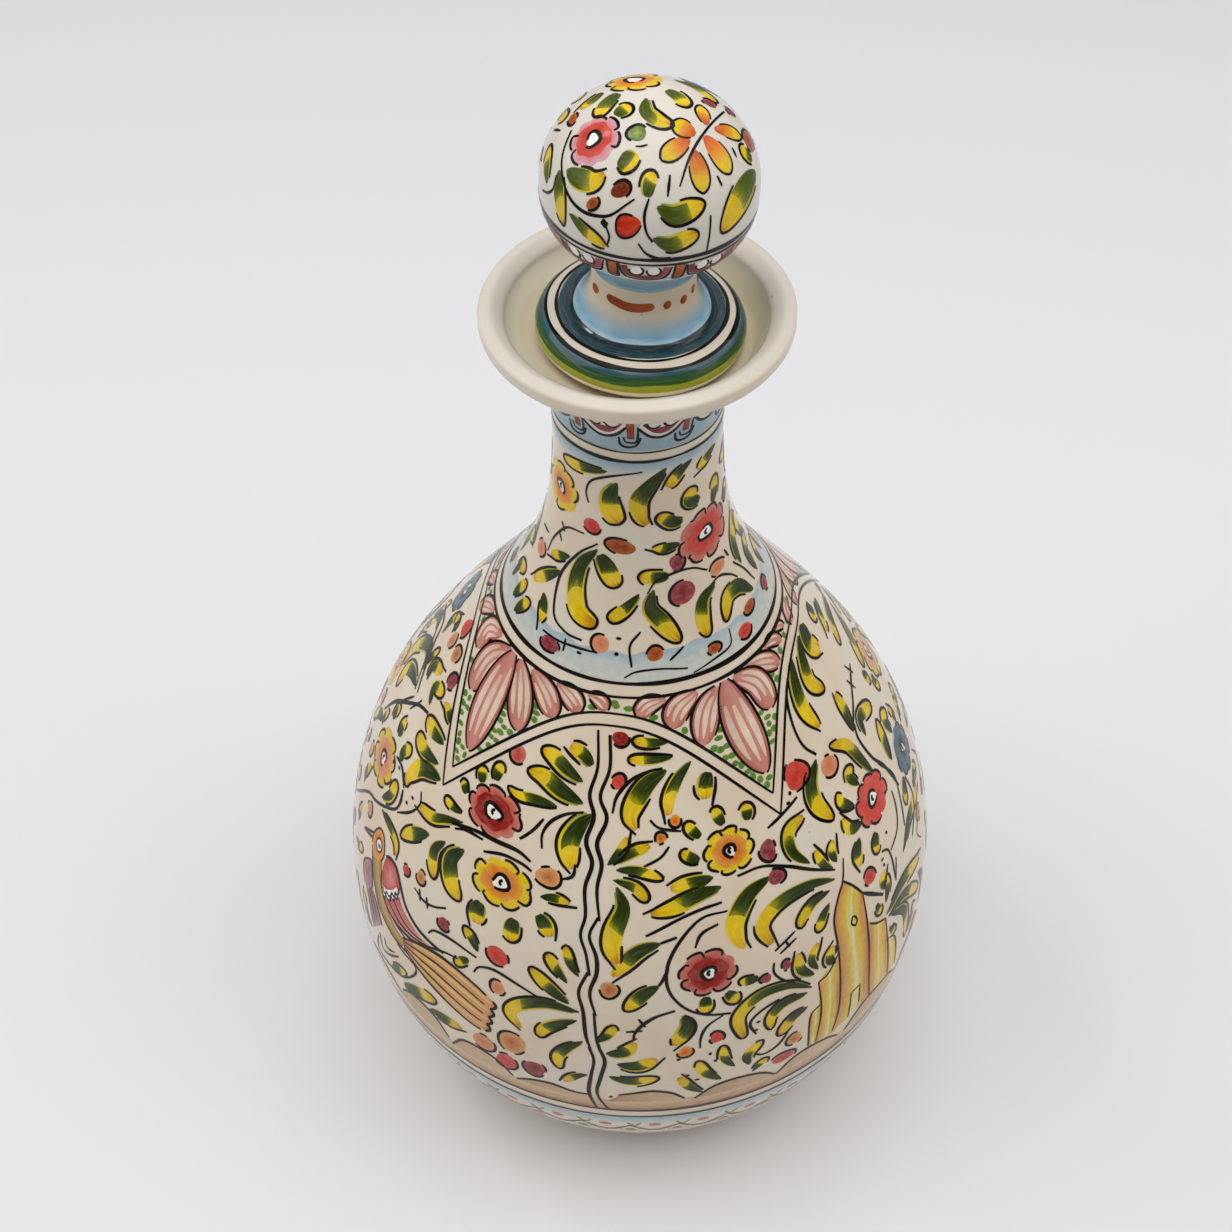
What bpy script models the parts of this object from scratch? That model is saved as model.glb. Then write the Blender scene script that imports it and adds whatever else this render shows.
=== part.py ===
# Stoppered ceramic carafe: one hollow slip-cast body and one hollow slip-cast stopper.
# Metres, +Z up, origin at the middle of the foot's bottom. The front of the carafe faces -Y.
import math

import bpy
from mathutils import Matrix, Vector

# Foot and belly of the body
FOOT_RADIUS = 0.0500
FOOT_WIDTH = 0.0055
FOOT_HEIGHT = 0.0040
FOOT_RECESS = 0.0022
BELLY_RADIUS = 0.0750
BELLY_HEIGHT = 0.0635         # foot's bottom to the widest ring
HEEL_STEP = 0.0026            # foot's edge to where the belly's curve ends above it
SHOULDER_RISE = 0.0931        # half height of the ellipse above the widest ring
SHOULDER_TURN = 37.5          # degrees of that ellipse before it runs into the neck
BELLY_WALL = 0.0048

# Neck and its sweep out of the shoulder
NECK_RADIUS = 0.01845
NECK_WALL = 0.0040
NECK_RISE = 0.1475            # widest ring to the start of the straight neck
NECK_LENGTH = 0.0050
SHOULDER_SWEEP = 0.0491       # handle of the curve that leaves the shoulder
NECK_SWEEP = 0.0469           # handle of the curve that reaches the neck

# Saucer lip with the cup that holds the stopper's collar
LIP_BEAD = 0.0024             # radius of the rounded edge
LIP_RISE = 0.0228             # end of the straight neck to the middle of the edge
RIM_REACH = 0.0107            # collar's edge to the lip's outer edge
CUP_DEPTH = 0.0158            # middle of the lip's edge down to the bore
CUP_STEEPNESS = 155.0         # degrees round the edge where the cup begins
CUP_SWEEP = 0.0047            # handle of the cup's curve at the edge
CUP_THROAT = 0.0088           # height of its other handle above the bore
FLARE_TURN = -70.0            # degrees round the edge where the outer flare ends
FLARE_SWEEP = 0.0137          # handle of the flare's curve at the neck
FLARE_EDGE_SWEEP = 0.0068     # and at the edge

# Stopper: plug, domed collar, neck and ball knob
COLLAR_SEAT = 0.0073          # bore's wall to the collar's edge
COLLAR_SHOULDER = 0.0047      # radius of the collar's rounded shoulder
COLLAR_UNDERCUT = 0.0029      # radius under the collar's edge
PLUG_CLEARANCE = 0.0034
PLUG_LENGTH = 0.0320
PLUG_TAPER = 0.0014
EDGE_BREAK = 0.0008           # small slopes on the plug's end and inside the foot
GRIP_RADIUS = 0.0107          # narrowest part, between the collar and the ball
GRIP_LENGTH = 0.0157          # collar's top to the ball
GRIP_FLARE = 0.0098           # height of the flare between collar and grip
GRIP_SWEEP = 0.0063           # handle of the flare's curve at the grip
COLLAR_SWEEP = 0.0041         # and at the collar's top
BALL_RADIUS = 0.0215
BALL_CROWN = 0.0186           # ball's middle to its top
BALL_BASE = 0.0160            # ball's middle to its flattened base
BALL_FULLNESS = 2.5           # 2 would be an ellipse, more is squarer
STOPPER_WALL = 0.0040
SEAT_GAP = 0.0004
STOPPER_LEAN = 2.9            # degrees, the loose stopper leans to the right
STOPPER_SHIFT = 0.0006        # and sits a little right of the middle

BODY_STEPS = 64
STOPPER_STEPS = 48
MERGE_DISTANCE = 0.00001

BORE_RADIUS = NECK_RADIUS - NECK_WALL
COLLAR_RADIUS = BORE_RADIUS + COLLAR_SEAT
LIP_RADIUS = COLLAR_RADIUS + RIM_REACH - LIP_BEAD
PLUG_RADIUS = BORE_RADIUS - PLUG_CLEARANCE
NECK_START = BELLY_HEIGHT + NECK_RISE
NECK_END = NECK_START + NECK_LENGTH
LIP_HEIGHT = NECK_END + LIP_RISE
HEEL_RADIUS = FOOT_RADIUS + HEEL_STEP
HEEL_HEIGHT = FOOT_HEIGHT
UNDERSIDE_DROP = (BELLY_HEIGHT - HEEL_HEIGHT) / math.sqrt(1 - (HEEL_RADIUS / BELLY_RADIUS) ** 2)


def ellipse(centre_z, across, along, start, end, count):
    # Points (r, z) of an ellipse about (0, centre_z), angles in degrees from the level
    angles = [math.radians(start + (end - start) * i / count) for i in range(count + 1)]
    return [(across * math.cos(a), centre_z + along * math.sin(a)) for a in angles]


def arc(centre, radius, start, end, count):
    # Points of a circular arc about centre, angles in degrees
    angles = [math.radians(start + (end - start) * i / count) for i in range(count + 1)]
    return [(centre[0] + radius * math.cos(a), centre[1] + radius * math.sin(a)) for a in angles]


def sweep(start, start_handle, end_handle, end, count):
    # Inner points of a cubic curve between two points, without its two ends
    points = []
    for i in range(1, count):
        t = i / count
        weights = ((1 - t) ** 3, 3 * t * (1 - t) ** 2, 3 * t * t * (1 - t), t ** 3)
        corners = (start, start_handle, end_handle, end)
        points.append(tuple(sum(w * c[k] for w, c in zip(weights, corners)) for k in (0, 1)))
    return points


def heading(degrees, length):
    a = math.radians(degrees)
    return (length * math.cos(a), length * math.sin(a))


def ahead(point, step):
    return (point[0] + step[0], point[1] + step[1])


def shoulder_to_neck(wall_below, wall_above, count_shoulder, count_sweep):
    # Widest ring to the straight neck, as the outer face or as the inner face one wall further in
    across = BELLY_RADIUS - wall_below
    along = SHOULDER_RISE - wall_below
    rise = ellipse(BELLY_HEIGHT, across, along, 0, SHOULDER_TURN, count_shoulder)
    a = math.radians(SHOULDER_TURN)
    leaving = math.degrees(math.atan2(along * math.cos(a), -across * math.sin(a)))
    top = (NECK_RADIUS - wall_above, NECK_START)
    start_handle = ahead(rise[-1], heading(leaving, SHOULDER_SWEEP))
    end_handle = (top[0], top[1] - NECK_SWEEP)
    return rise + sweep(rise[-1], start_handle, end_handle, top, count_sweep) + [top]


def lip_centre():
    return (LIP_RADIUS, LIP_HEIGHT)


def cup_curve(count):
    # The cup's face from the lip's edge down to the bore, both ends included
    centre = lip_centre()
    start = ahead(centre, heading(CUP_STEEPNESS, LIP_BEAD))
    end = (BORE_RADIUS, LIP_HEIGHT - CUP_DEPTH)
    start_handle = ahead(start, heading(CUP_STEEPNESS + 90, CUP_SWEEP))
    end_handle = (BORE_RADIUS + COLLAR_SEAT / 2, end[1] + CUP_THROAT)
    return [start] + sweep(start, start_handle, end_handle, end, count) + [end]


def flare_curve(count):
    # The outer face from the straight neck out under the lip's edge, without its ends
    start = (NECK_RADIUS, NECK_END)
    end = ahead(lip_centre(), heading(FLARE_TURN, LIP_BEAD))
    start_handle = (NECK_RADIUS, NECK_END + FLARE_SWEEP)
    end_handle = ahead(end, heading(FLARE_TURN - 90, FLARE_EDGE_SWEEP))
    return sweep(start, start_handle, end_handle, end, count)


def foot_and_underside():
    # Down from the widest ring, round the foot ring and in to the middle of the recess
    turn = -math.degrees(math.acos(HEEL_RADIUS / BELLY_RADIUS))
    underside = ellipse(BELLY_HEIGHT, BELLY_RADIUS, UNDERSIDE_DROP, 0, turn, 10)[1:]
    inner = FOOT_RADIUS - FOOT_WIDTH
    foot = [(FOOT_RADIUS, FOOT_HEIGHT - EDGE_BREAK), (FOOT_RADIUS, 0.0), (inner, 0.0)]
    return underside + foot + [(inner - EDGE_BREAK, FOOT_RECESS), (0.0, FOOT_RECESS)]


def inner_floor():
    # From the middle of the floor out and up to the widest ring of the inner face
    across = BELLY_RADIUS - BELLY_WALL
    along = UNDERSIDE_DROP - BELLY_WALL
    floor_height = FOOT_HEIGHT + BELLY_WALL
    turn = -math.degrees(math.asin((BELLY_HEIGHT - floor_height) / along))
    rise = ellipse(BELLY_HEIGHT, across, along, turn, 0, 8)[:-1]
    return [(0.0, floor_height), (rise[0][0] - BELLY_WALL, floor_height)] + rise


def body_profile():
    inside = inner_floor() + shoulder_to_neck(BELLY_WALL, NECK_WALL, 4, 8)
    lip = arc(lip_centre(), LIP_BEAD, CUP_STEEPNESS, FLARE_TURN, 9)
    outside = list(reversed(shoulder_to_neck(0.0, 0.0, 6, 11)))
    rim_to_neck = list(reversed(flare_curve(6))) + [(NECK_RADIUS, NECK_END)]
    cup = list(reversed(cup_curve(7)))[:-1]
    return inside + cup + lip + rim_to_neck + outside + foot_and_underside()


def ball_side(across, crown, base, count_crown, count_base, stop_radius):
    # The ball from its top down to the radius of the grip below it
    points = ellipse(0.0, across, crown, 90, 0, count_crown)
    last = 1 - (stop_radius / across) ** BALL_FULLNESS
    for i in range(1, count_base + 1):
        depth = last ** (1 / BALL_FULLNESS) * math.sin(math.radians(90 * i / count_base))
        radius = across * (1 - depth ** BALL_FULLNESS) ** (1 / BALL_FULLNESS)
        points.append((radius, -base * depth))
    return points


def stopper_profile():
    # Outer face from the crown down to the plug, then the casting hollow back up
    shoulder_middle = (COLLAR_RADIUS - COLLAR_SHOULDER, COLLAR_UNDERCUT)
    undercut_middle = (COLLAR_RADIUS - COLLAR_UNDERCUT, COLLAR_UNDERCUT)
    collar_top = (shoulder_middle[0], COLLAR_UNDERCUT + COLLAR_SHOULDER)
    grip_bottom = (GRIP_RADIUS, collar_top[1] + GRIP_FLARE)
    ball_base = BALL_BASE * (1 - (GRIP_RADIUS / BALL_RADIUS) ** BALL_FULLNESS) ** (1 / BALL_FULLNESS)
    ball_z = collar_top[1] + GRIP_LENGTH + ball_base
    ball = ball_side(BALL_RADIUS, BALL_CROWN, BALL_BASE, 8, 8, GRIP_RADIUS)
    ball = [(r, z + ball_z) for r, z in ball]
    flare = sweep(grip_bottom, (GRIP_RADIUS, grip_bottom[1] - GRIP_SWEEP),
                  (collar_top[0] - COLLAR_SWEEP, collar_top[1]), collar_top, 6)
    collar = arc(shoulder_middle, COLLAR_SHOULDER, 90, 0, 5)
    under = arc(undercut_middle, COLLAR_UNDERCUT, 0, -90, 4)[1:]
    plug_foot = PLUG_RADIUS - PLUG_TAPER
    plug = [(PLUG_RADIUS, -COLLAR_UNDERCUT / 2), (plug_foot, EDGE_BREAK - PLUG_LENGTH),
            (plug_foot - EDGE_BREAK, -PLUG_LENGTH)]
    hollow_foot = plug_foot - STOPPER_WALL
    hollow_grip = GRIP_RADIUS - STOPPER_WALL
    hollow_ball = ball_side(BALL_RADIUS - STOPPER_WALL, BALL_CROWN - STOPPER_WALL,
                            BALL_BASE - STOPPER_WALL, 5, 5, hollow_grip)
    hollow = [(hollow_foot, -PLUG_LENGTH), (hollow_grip, collar_top[1])]
    hollow += [(r, z + ball_z) for r, z in reversed(hollow_ball)]
    return ball + [grip_bottom] + flare + collar + under + plug + hollow


def cup_height_at(radius):
    # Height of the cup's face at a radius, read along its curve
    curve = cup_curve(24)
    for (r1, z1), (r0, z0) in zip(curve, curve[1:]):
        if r0 <= radius <= r1:
            return z0 + (z1 - z0) * (radius - r0) / (r1 - r0)
    return LIP_HEIGHT - CUP_DEPTH if radius < BORE_RADIUS else LIP_HEIGHT + LIP_BEAD


def stopper_place(profile):
    # Turn and lift that lay the leaning collar on the cup with the seat's gap
    lean = Matrix.Rotation(math.radians(STOPPER_LEAN), 4, "Y")
    lift = 0.0
    rim = [(r, z) for r, z in profile if BORE_RADIUS < r and z < COLLAR_UNDERCUT + COLLAR_SHOULDER]
    for r, z in rim:
        for step in range(STOPPER_STEPS):
            angle = 2 * math.pi * step / STOPPER_STEPS
            point = lean @ Vector((r * math.cos(angle), r * math.sin(angle), z))
            reach = math.hypot(point.x + STOPPER_SHIFT, point.y)
            lift = max(lift, cup_height_at(reach) - point.z)
    return Matrix.Translation((STOPPER_SHIFT, 0.0, lift + SEAT_GAP)) @ lean


def glaze(name, colour):
    material = bpy.data.materials.new(name)
    material.use_nodes = True
    shader = material.node_tree.nodes["Principled BSDF"]
    shader.inputs["Base Color"].default_value = (*colour, 1.0)
    shader.inputs["Roughness"].default_value = 0.18
    shader.inputs["Metallic"].default_value = 0.0
    return material


def turned(name, profile, steps, material, collection):
    mesh = bpy.data.meshes.new(name)
    edges = [(i, i + 1) for i in range(len(profile) - 1)]
    mesh.from_pydata([(r, 0.0, z) for r, z in profile], edges, [])
    piece = bpy.data.objects.new(name, mesh)
    collection.objects.link(piece)
    mesh.materials.append(material)
    screw = piece.modifiers.new("Turned", "SCREW")
    screw.axis = "Z"
    screw.angle = math.tau
    screw.steps = steps
    screw.render_steps = steps
    screw.use_merge_vertices = True
    screw.merge_threshold = MERGE_DISTANCE
    screw.use_smooth_shade = True
    return piece


def main():
    for old in list(bpy.data.objects):
        bpy.data.objects.remove(old)
    carafe = bpy.data.collections.new("ceramic_carafe")
    bpy.context.scene.collection.children.link(carafe)
    cream = (0.72, 0.66, 0.57)
    turned("carafe_body", body_profile(), BODY_STEPS, glaze("body_glaze", cream), carafe)
    profile = stopper_profile()
    stopper = turned("stopper", profile, STOPPER_STEPS, glaze("stopper_glaze", cream), carafe)
    stopper.matrix_world = stopper_place(profile)


main()
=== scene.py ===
import math

import bpy
import numpy as np
from mathutils import Matrix, Vector


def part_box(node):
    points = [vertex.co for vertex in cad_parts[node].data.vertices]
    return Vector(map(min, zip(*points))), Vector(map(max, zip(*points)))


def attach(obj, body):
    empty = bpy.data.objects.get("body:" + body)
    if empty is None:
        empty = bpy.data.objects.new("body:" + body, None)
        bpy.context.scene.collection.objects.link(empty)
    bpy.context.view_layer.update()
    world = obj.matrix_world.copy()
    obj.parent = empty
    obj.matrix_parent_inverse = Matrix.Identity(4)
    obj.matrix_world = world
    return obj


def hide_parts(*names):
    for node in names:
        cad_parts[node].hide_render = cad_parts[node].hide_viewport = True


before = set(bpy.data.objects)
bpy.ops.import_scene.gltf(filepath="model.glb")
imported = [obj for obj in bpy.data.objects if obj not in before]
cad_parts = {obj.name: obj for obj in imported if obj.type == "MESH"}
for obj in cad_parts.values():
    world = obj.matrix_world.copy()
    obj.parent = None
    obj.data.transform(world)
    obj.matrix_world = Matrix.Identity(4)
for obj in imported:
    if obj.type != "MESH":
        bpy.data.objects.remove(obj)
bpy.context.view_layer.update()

hand = np.random.default_rng(417)  # the painter's unsteadiness

carafe = {
    "bellyRadius": 75.0, "bellyHeight": 63.5, "shoulderRise": 93.1, "shoulderTurn": 37.5, "bellyWall": 4.8,
    "heelRadius": 52.6, "heelHeight": 4.0, "footRadius": 50.0, "footWidth": 5.5, "footRecess": 2.2,
    "footEdge": 0.5, "edgeBreak": 0.8, "neckRadius": 18.45, "neckWall": 4.0, "neckStart": 211.0,
    "neckEnd": 216.0, "neckSweep": 46.9, "shoulderSweep": 49.1,
    "flareTurn": -70, "flareSweep": 13.7, "flareEdgeSweep": 6.8,
    "lipRadius": 30.05, "lipHeight": 238.8, "lipBead": 2.4, "lipShelf": 1.0, "lipDrop": 1.3, "lipSteps": 22,
    "lipEdges": [(38, 15, 0.18), (136, 13, 0.108)],  # turned so far round the bead, how wide, how strong
    "cupSteepness": 155, "cupSweep": 5.2, "cupDepth": 8.7, "cupThroat": 2.0, "cupReach": 5.1,
    "cupHeights": (206, 222, 235, 238.6),  # the cup leans between the middle two, and not past the outer ones
    "stepsRound": 256, "underGlaze": 0.12,
}
stopper = {
    "collarRadius": 21.75, "collarShoulder": 4.7, "collarUndercut": 2.9, "collarSweep": 4.1,
    "underside": (-0.15, 0.02), "rimInset": 0.2,  # height of the collar's underside at the plug and the rim
    "gripRadius": 10.7, "gripFlare": 9.8, "gripSweep": 6.3, "gripLength": 15.7,
    "ballRadius": 21.5, "ballCrown": 18.6, "ballBase": 16.0, "ballFullness": 2.5,
    "plugRadius": 11.05, "plugTaper": 1.4, "plugLength": 32.0, "plugFillet": 1.2, "plugNeck": 0.25,
    "edgeBreak": 0.8, "wall": 4.0, "lean": 2.9, "shift": 0.6, "below": 0.03, "stepsRound": 192,
}
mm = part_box("carafe_body")[1].x / carafe["bellyRadius"]  # metres in a nominal millimetre


def bend(start, startHandle, endHandle, end, count):
    t = np.linspace(0, 1, count + 1)[:, None]
    corners = [np.array(c, float) for c in (start, startHandle, endHandle, end)]
    weights = ((1 - t) ** 3, 3 * t * (1 - t) ** 2, 3 * t * t * (1 - t), t ** 3)
    return sum(w * c for w, c in zip(weights, corners))


def turn(centre, across, along, fromAngle, toAngle, count):
    a = np.radians(np.linspace(fromAngle, toAngle, count + 1))
    return np.c_[centre[0] + across * np.cos(a), centre[1] + along * np.sin(a)]


def heading(angle, length):
    return length * np.array([math.cos(math.radians(angle)), math.sin(math.radians(angle))])


def shoulderToNeck(p, wallBelow, wallAbove):
    across, along = p["bellyRadius"] - wallBelow, p["shoulderRise"] - wallBelow
    rise = turn((0, p["bellyHeight"]), across, along, 0, p["shoulderTurn"], 44)
    a = math.radians(p["shoulderTurn"])
    leaving = np.array([-across * math.sin(a), along * math.cos(a)])
    leaving = leaving / np.hypot(*leaving) * p["shoulderSweep"]
    top = np.array([p["neckRadius"] - wallAbove, p["neckStart"]])
    return np.vstack([rise[:-1], bend(rise[-1], rise[-1] + leaving, top - (0, p["neckSweep"]), top, 76)])


def bellyDrop(p):
    # How far below its widest ring the belly would close if it didn't end at the heel
    return (p["bellyHeight"] - p["heelHeight"]) / math.sqrt(1 - (p["heelRadius"] / p["bellyRadius"]) ** 2)


def carafeOutline(p):
    # Outer face from the heel up to the lip's underside, bottom first
    heel = -math.degrees(math.acos(p["heelRadius"] / p["bellyRadius"]))
    belly = turn((0, p["bellyHeight"]), p["bellyRadius"], bellyDrop(p), heel, 0, 60)[:-1]
    edge = (p["lipRadius"], p["lipHeight"]) + heading(p["flareTurn"], p["lipBead"])
    neck = np.array([p["neckRadius"], p["neckEnd"]])
    edgeHandle = edge + heading(p["flareTurn"] - 90, p["flareEdgeSweep"])
    flare = bend(neck, neck + (0, p["flareSweep"]), edgeHandle, edge, 40)
    return np.vstack([belly, shoulderToNeck(p, 0, 0), flare])


def carafeRest(p):
    # Lip, cup, inner wall and floor, down the inside, then the foot ring from inside to outside
    lipMiddle = (p["lipRadius"], p["lipHeight"])
    lip = turn(lipMiddle, p["lipBead"], p["lipBead"], p["flareTurn"], p["cupSteepness"], p["lipSteps"])[1:]
    a = np.linspace(p["flareTurn"], p["cupSteepness"], p["lipSteps"] + 1)[1:, None]
    swell = 1 + sum(strong * np.exp(-((a - at) / wide) ** 2) for at, wide, strong in p["lipEdges"])
    lip = lipMiddle + (lip - lipMiddle) * swell  # a soft edge on either side of the lip's top
    inward = np.clip((lipMiddle[0] - lip[:, 0]) / p["lipBead"], 0, 1)
    lip -= np.c_[p["lipShelf"] * inward, p["lipDrop"] * inward ** 1.3]  # the top slants down into the cup
    bore = np.array([p["neckRadius"] - p["neckWall"], p["lipHeight"] - p["cupDepth"]])
    cup = bend(lip[-1], lip[-1] + heading(p["cupSteepness"] + 90, p["cupSweep"]),
               bore + (p["cupReach"], p["cupThroat"]), bore, 30)[1:]
    inside = shoulderToNeck(p, p["bellyWall"], p["neckWall"])[::-1][::2]
    across, along = p["bellyRadius"] - p["bellyWall"], bellyDrop(p) - p["bellyWall"]
    floorHeight = p["heelHeight"] + p["bellyWall"]
    down = -math.degrees(math.asin((p["bellyHeight"] - floorHeight) / along))
    bowl = turn((0, p["bellyHeight"]), across, along, 0, down, 24)[1:]
    floor = [(bowl[-1][0] - p["bellyWall"], floorHeight), (0, floorHeight)]
    return np.vstack([lip, cup, inside, bowl, floor])


def footOutline(p):
    inner, outer = p["footRadius"] - p["footWidth"], p["footRadius"]
    edge, recess = p["footEdge"], p["footRecess"]
    inside = [(0, recess), (inner - p["edgeBreak"], recess), (inner - edge / 2, edge * 0.8), (inner, 0)]
    outside = [(outer - edge, 0), (outer, edge), (outer, p["heelHeight"] - p["edgeBreak"])]
    return np.array(inside + outside)


def ballSide(p, wall, radiusBelow, count):
    # The ball from the grip below it up to its crown, about its own middle
    across, crown, base = p["ballRadius"] - wall, p["ballCrown"] - wall, p["ballBase"] - wall
    power = p["ballFullness"]
    last = 1 - (radiusBelow / across) ** power
    depth = last ** (1 / power) * np.sin(np.radians(np.linspace(90, 0, count + 1)))
    below = np.c_[across * (1 - depth ** power) ** (1 / power), -base * depth]
    return np.vstack([below[:-1], turn((0, 0), across, crown, 0, 90, count)])


def stopperOutline(p):
    # Outer face from under the collar up to the crown
    c, u = p["collarRadius"] - p["collarShoulder"], p["collarRadius"] - p["collarUndercut"]
    under = turn((u, p["collarUndercut"]), p["collarUndercut"], p["collarUndercut"], -60, 0, 10)[:-1]
    shoulder = turn((c, p["collarUndercut"]), p["collarShoulder"], p["collarShoulder"], 0, 90, 16)[:-1]
    top = np.array([c, p["collarUndercut"] + p["collarShoulder"]])
    grip = np.array([p["gripRadius"], top[1] + p["gripFlare"]])
    flare = bend(top, top - (p["collarSweep"], 0), grip - (0, p["gripSweep"]), grip, 24)
    return np.vstack([under, shoulder, flare, ballSide(p, 0, p["gripRadius"], 44) + (0, ballHeight(p))])


def ballHeight(p):
    power = p["ballFullness"]
    base = p["ballBase"] * (1 - (p["gripRadius"] / p["ballRadius"]) ** power) ** (1 / power)
    return p["collarUndercut"] + p["collarShoulder"] + p["gripLength"] + base


def withNormals(outline, inset):
    # Length along an outline and its outward normals, and the outline drawn in under the glaze
    s = np.r_[0, np.cumsum(np.hypot(*np.diff(outline, axis=0).T))]
    keep = np.r_[True, np.diff(s) > 1e-6]
    outline, s = outline[keep], s[keep]
    slope = np.gradient(outline, s, axis=0)
    slope /= np.hypot(*slope.T)[:, None]
    normal = np.c_[slope[:, 1], -slope[:, 0]]
    return {"r": outline[:, 0], "z": outline[:, 1], "nr": normal[:, 0], "nz": normal[:, 1],
            "s": s, "inset": inset}


bodyLine = withNormals(carafeOutline(carafe), carafe["underGlaze"])
bodyLine["s"] -= np.interp(carafe["bellyHeight"], bodyLine["z"], bodyLine["s"])  # 0 at the belly
knobLine = withNormals(stopperOutline(stopper), carafe["underGlaze"])

lean = Matrix.Rotation(math.radians(stopper["lean"]), 4, "Y")
crownReach = math.cos(math.radians(stopper["lean"])) * (ballHeight(stopper) + stopper["ballCrown"])
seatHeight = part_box("stopper")[1].z / mm - crownReach - stopper["below"]
seat = Matrix.Translation((stopper["shift"], 0, seatHeight)) @ lean
places = {"carafe": Matrix.Identity(4), "stopper": seat}
print("outlines:", len(bodyLine["s"]), "and", len(knobLine["s"]), "points, seat at", round(seatHeight, 2))


def shown(name, body, points, faces, material, normals=None):
    # A finished piece: object at the origin, its place in its mesh
    place = np.array(places[body])
    points = (points @ place[:3, :3].T + place[:3, 3]) * mm
    mesh = bpy.data.meshes.new(name)
    mesh.from_pydata(points.tolist(), [], faces)
    mesh.validate()
    mesh.shade_smooth()
    if normals is not None:
        mesh.normals_split_custom_set_from_vertices((normals @ place[:3, :3].T).tolist())
    mesh.materials.append(material)
    piece = bpy.data.objects.new(name, mesh)
    bpy.context.scene.collection.objects.link(piece)
    return piece


def turned(profile, steps):
    # Rings of a closed outline that starts and ends on the axis; the inside of the wall is on its left
    angles = np.radians(np.arange(steps) * 360 / steps)
    inner = profile[1:-1]
    rings = np.stack([np.outer(inner[:, 0], np.sin(angles)), -np.outer(inner[:, 0], np.cos(angles)),
                      np.repeat(inner[:, 1:2], steps, 1)], -1).reshape(-1, 3)
    points = np.vstack([rings, (0, 0, profile[0][1]), (0, 0, profile[-1][1])])
    first, last, faces = len(rings), len(rings) + 1, []
    for j in range(steps):
        k = (j + 1) % steps
        faces.append((first, k, j))
        faces.append((last, (len(inner) - 1) * steps + j, (len(inner) - 1) * steps + k))
        for i in range(len(inner) - 1):
            faces.append((i * steps + j, i * steps + k, (i + 1) * steps + k, (i + 1) * steps + j))
    return points, faces


# Materials

def linear(hexColour):
    parts = [int(hexColour[i:i + 2], 16) / 255 for i in (1, 3, 5)]
    return [c / 12.92 if c <= 0.04045 else ((c + 0.055) / 1.055) ** 2.4 for c in parts] + [1.0]


def add(tree, kind, inputs=None, **settings):
    # One node with its settings, values and links
    made = tree.nodes.new(kind)
    for key, value in settings.items():
        setattr(made, key, value)
    for key, value in (inputs or {}).items():
        if isinstance(value, bpy.types.NodeSocket):
            tree.links.new(value, made.inputs[key])
        else:
            made.inputs[key].default_value = value
    return made


def ramp(tree, factor, stops):
    made = add(tree, "ShaderNodeValToRGB", {"Fac": factor})
    while len(made.color_ramp.elements) < len(stops):
        made.color_ramp.elements.new(0.5)
    for element, (position, colour) in zip(made.color_ramp.elements, stops):
        element.position = position
        element.color = linear(colour) if isinstance(colour, str) else (colour, colour, colour, 1)
    return made.outputs["Color"]


def between(tree, value, low, high, toLow=0.0, toHigh=1.0):
    # toLow up to low, rising to toHigh at high
    ends = {"Value": value, "From Min": low, "From Max": high, "To Min": toLow, "To Max": toHigh}
    return add(tree, "ShaderNodeMapRange", ends).outputs["Result"]


def maths(tree, operation, *values, clamp=False):
    made = add(tree, "ShaderNodeMath", dict(enumerate(values)), operation=operation, use_clamp=clamp)
    return made.outputs[0]


def mixed(tree, amount, below, above):
    sockets = {"Factor": amount, "A": below, "B": above}
    return add(tree, "ShaderNodeMix", sockets, data_type="RGBA").outputs["Result"]


glaze = {
    "clouds": [(0.34, "#E2CFB5"), (0.52, "#E6D7C0"), (0.72, "#E2D9C6")], "mottle": 0.018,
    # Painted sheen: these masks make the glaze paler and more neutral on the lip, the neck's top and the
    # ball, standing in for the soft boxes' reflection, and tint the cup straw as a painted reflection
    "heights": (0.205, 0.265), "paintedSheenUp": [(0, 0.0), (0.45, 0.85), (0.66, 0.85), (0.85, 0.5)],
    "paintedSheenTints": [(0.5, "#ECE6CC"), (0.57, "#DBD5CA")],  # painted reflection: a straw tint in the cup; painted sheen: a paler, neutral tone above it
    "outSquared": (0.0002, 0.0011),  # square of the distance from the axis: grip to lip
    "paintedSheenOut": [(0, 0.15), (0.1, 0.6), (0.3, 0.5), (0.67, 1.0), (0.89, 1.0), (0.95, 0.2)],
    "ball": (0.252, 0.262), "ballPaintedSheen": 0.9,
    "speck": "#8C6A4B", "speckle": 0.0099, "spots": [(0.0, 0.55), (0.035, 0.25), (0.05, 0.0)],
    "ripple": 0.0035, "rippleDepth": 0.0004, "rippleStrength": 0.10,
    "roughness": 0.08, "ior": 1.45, "gloss": 0.15,
}


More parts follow.
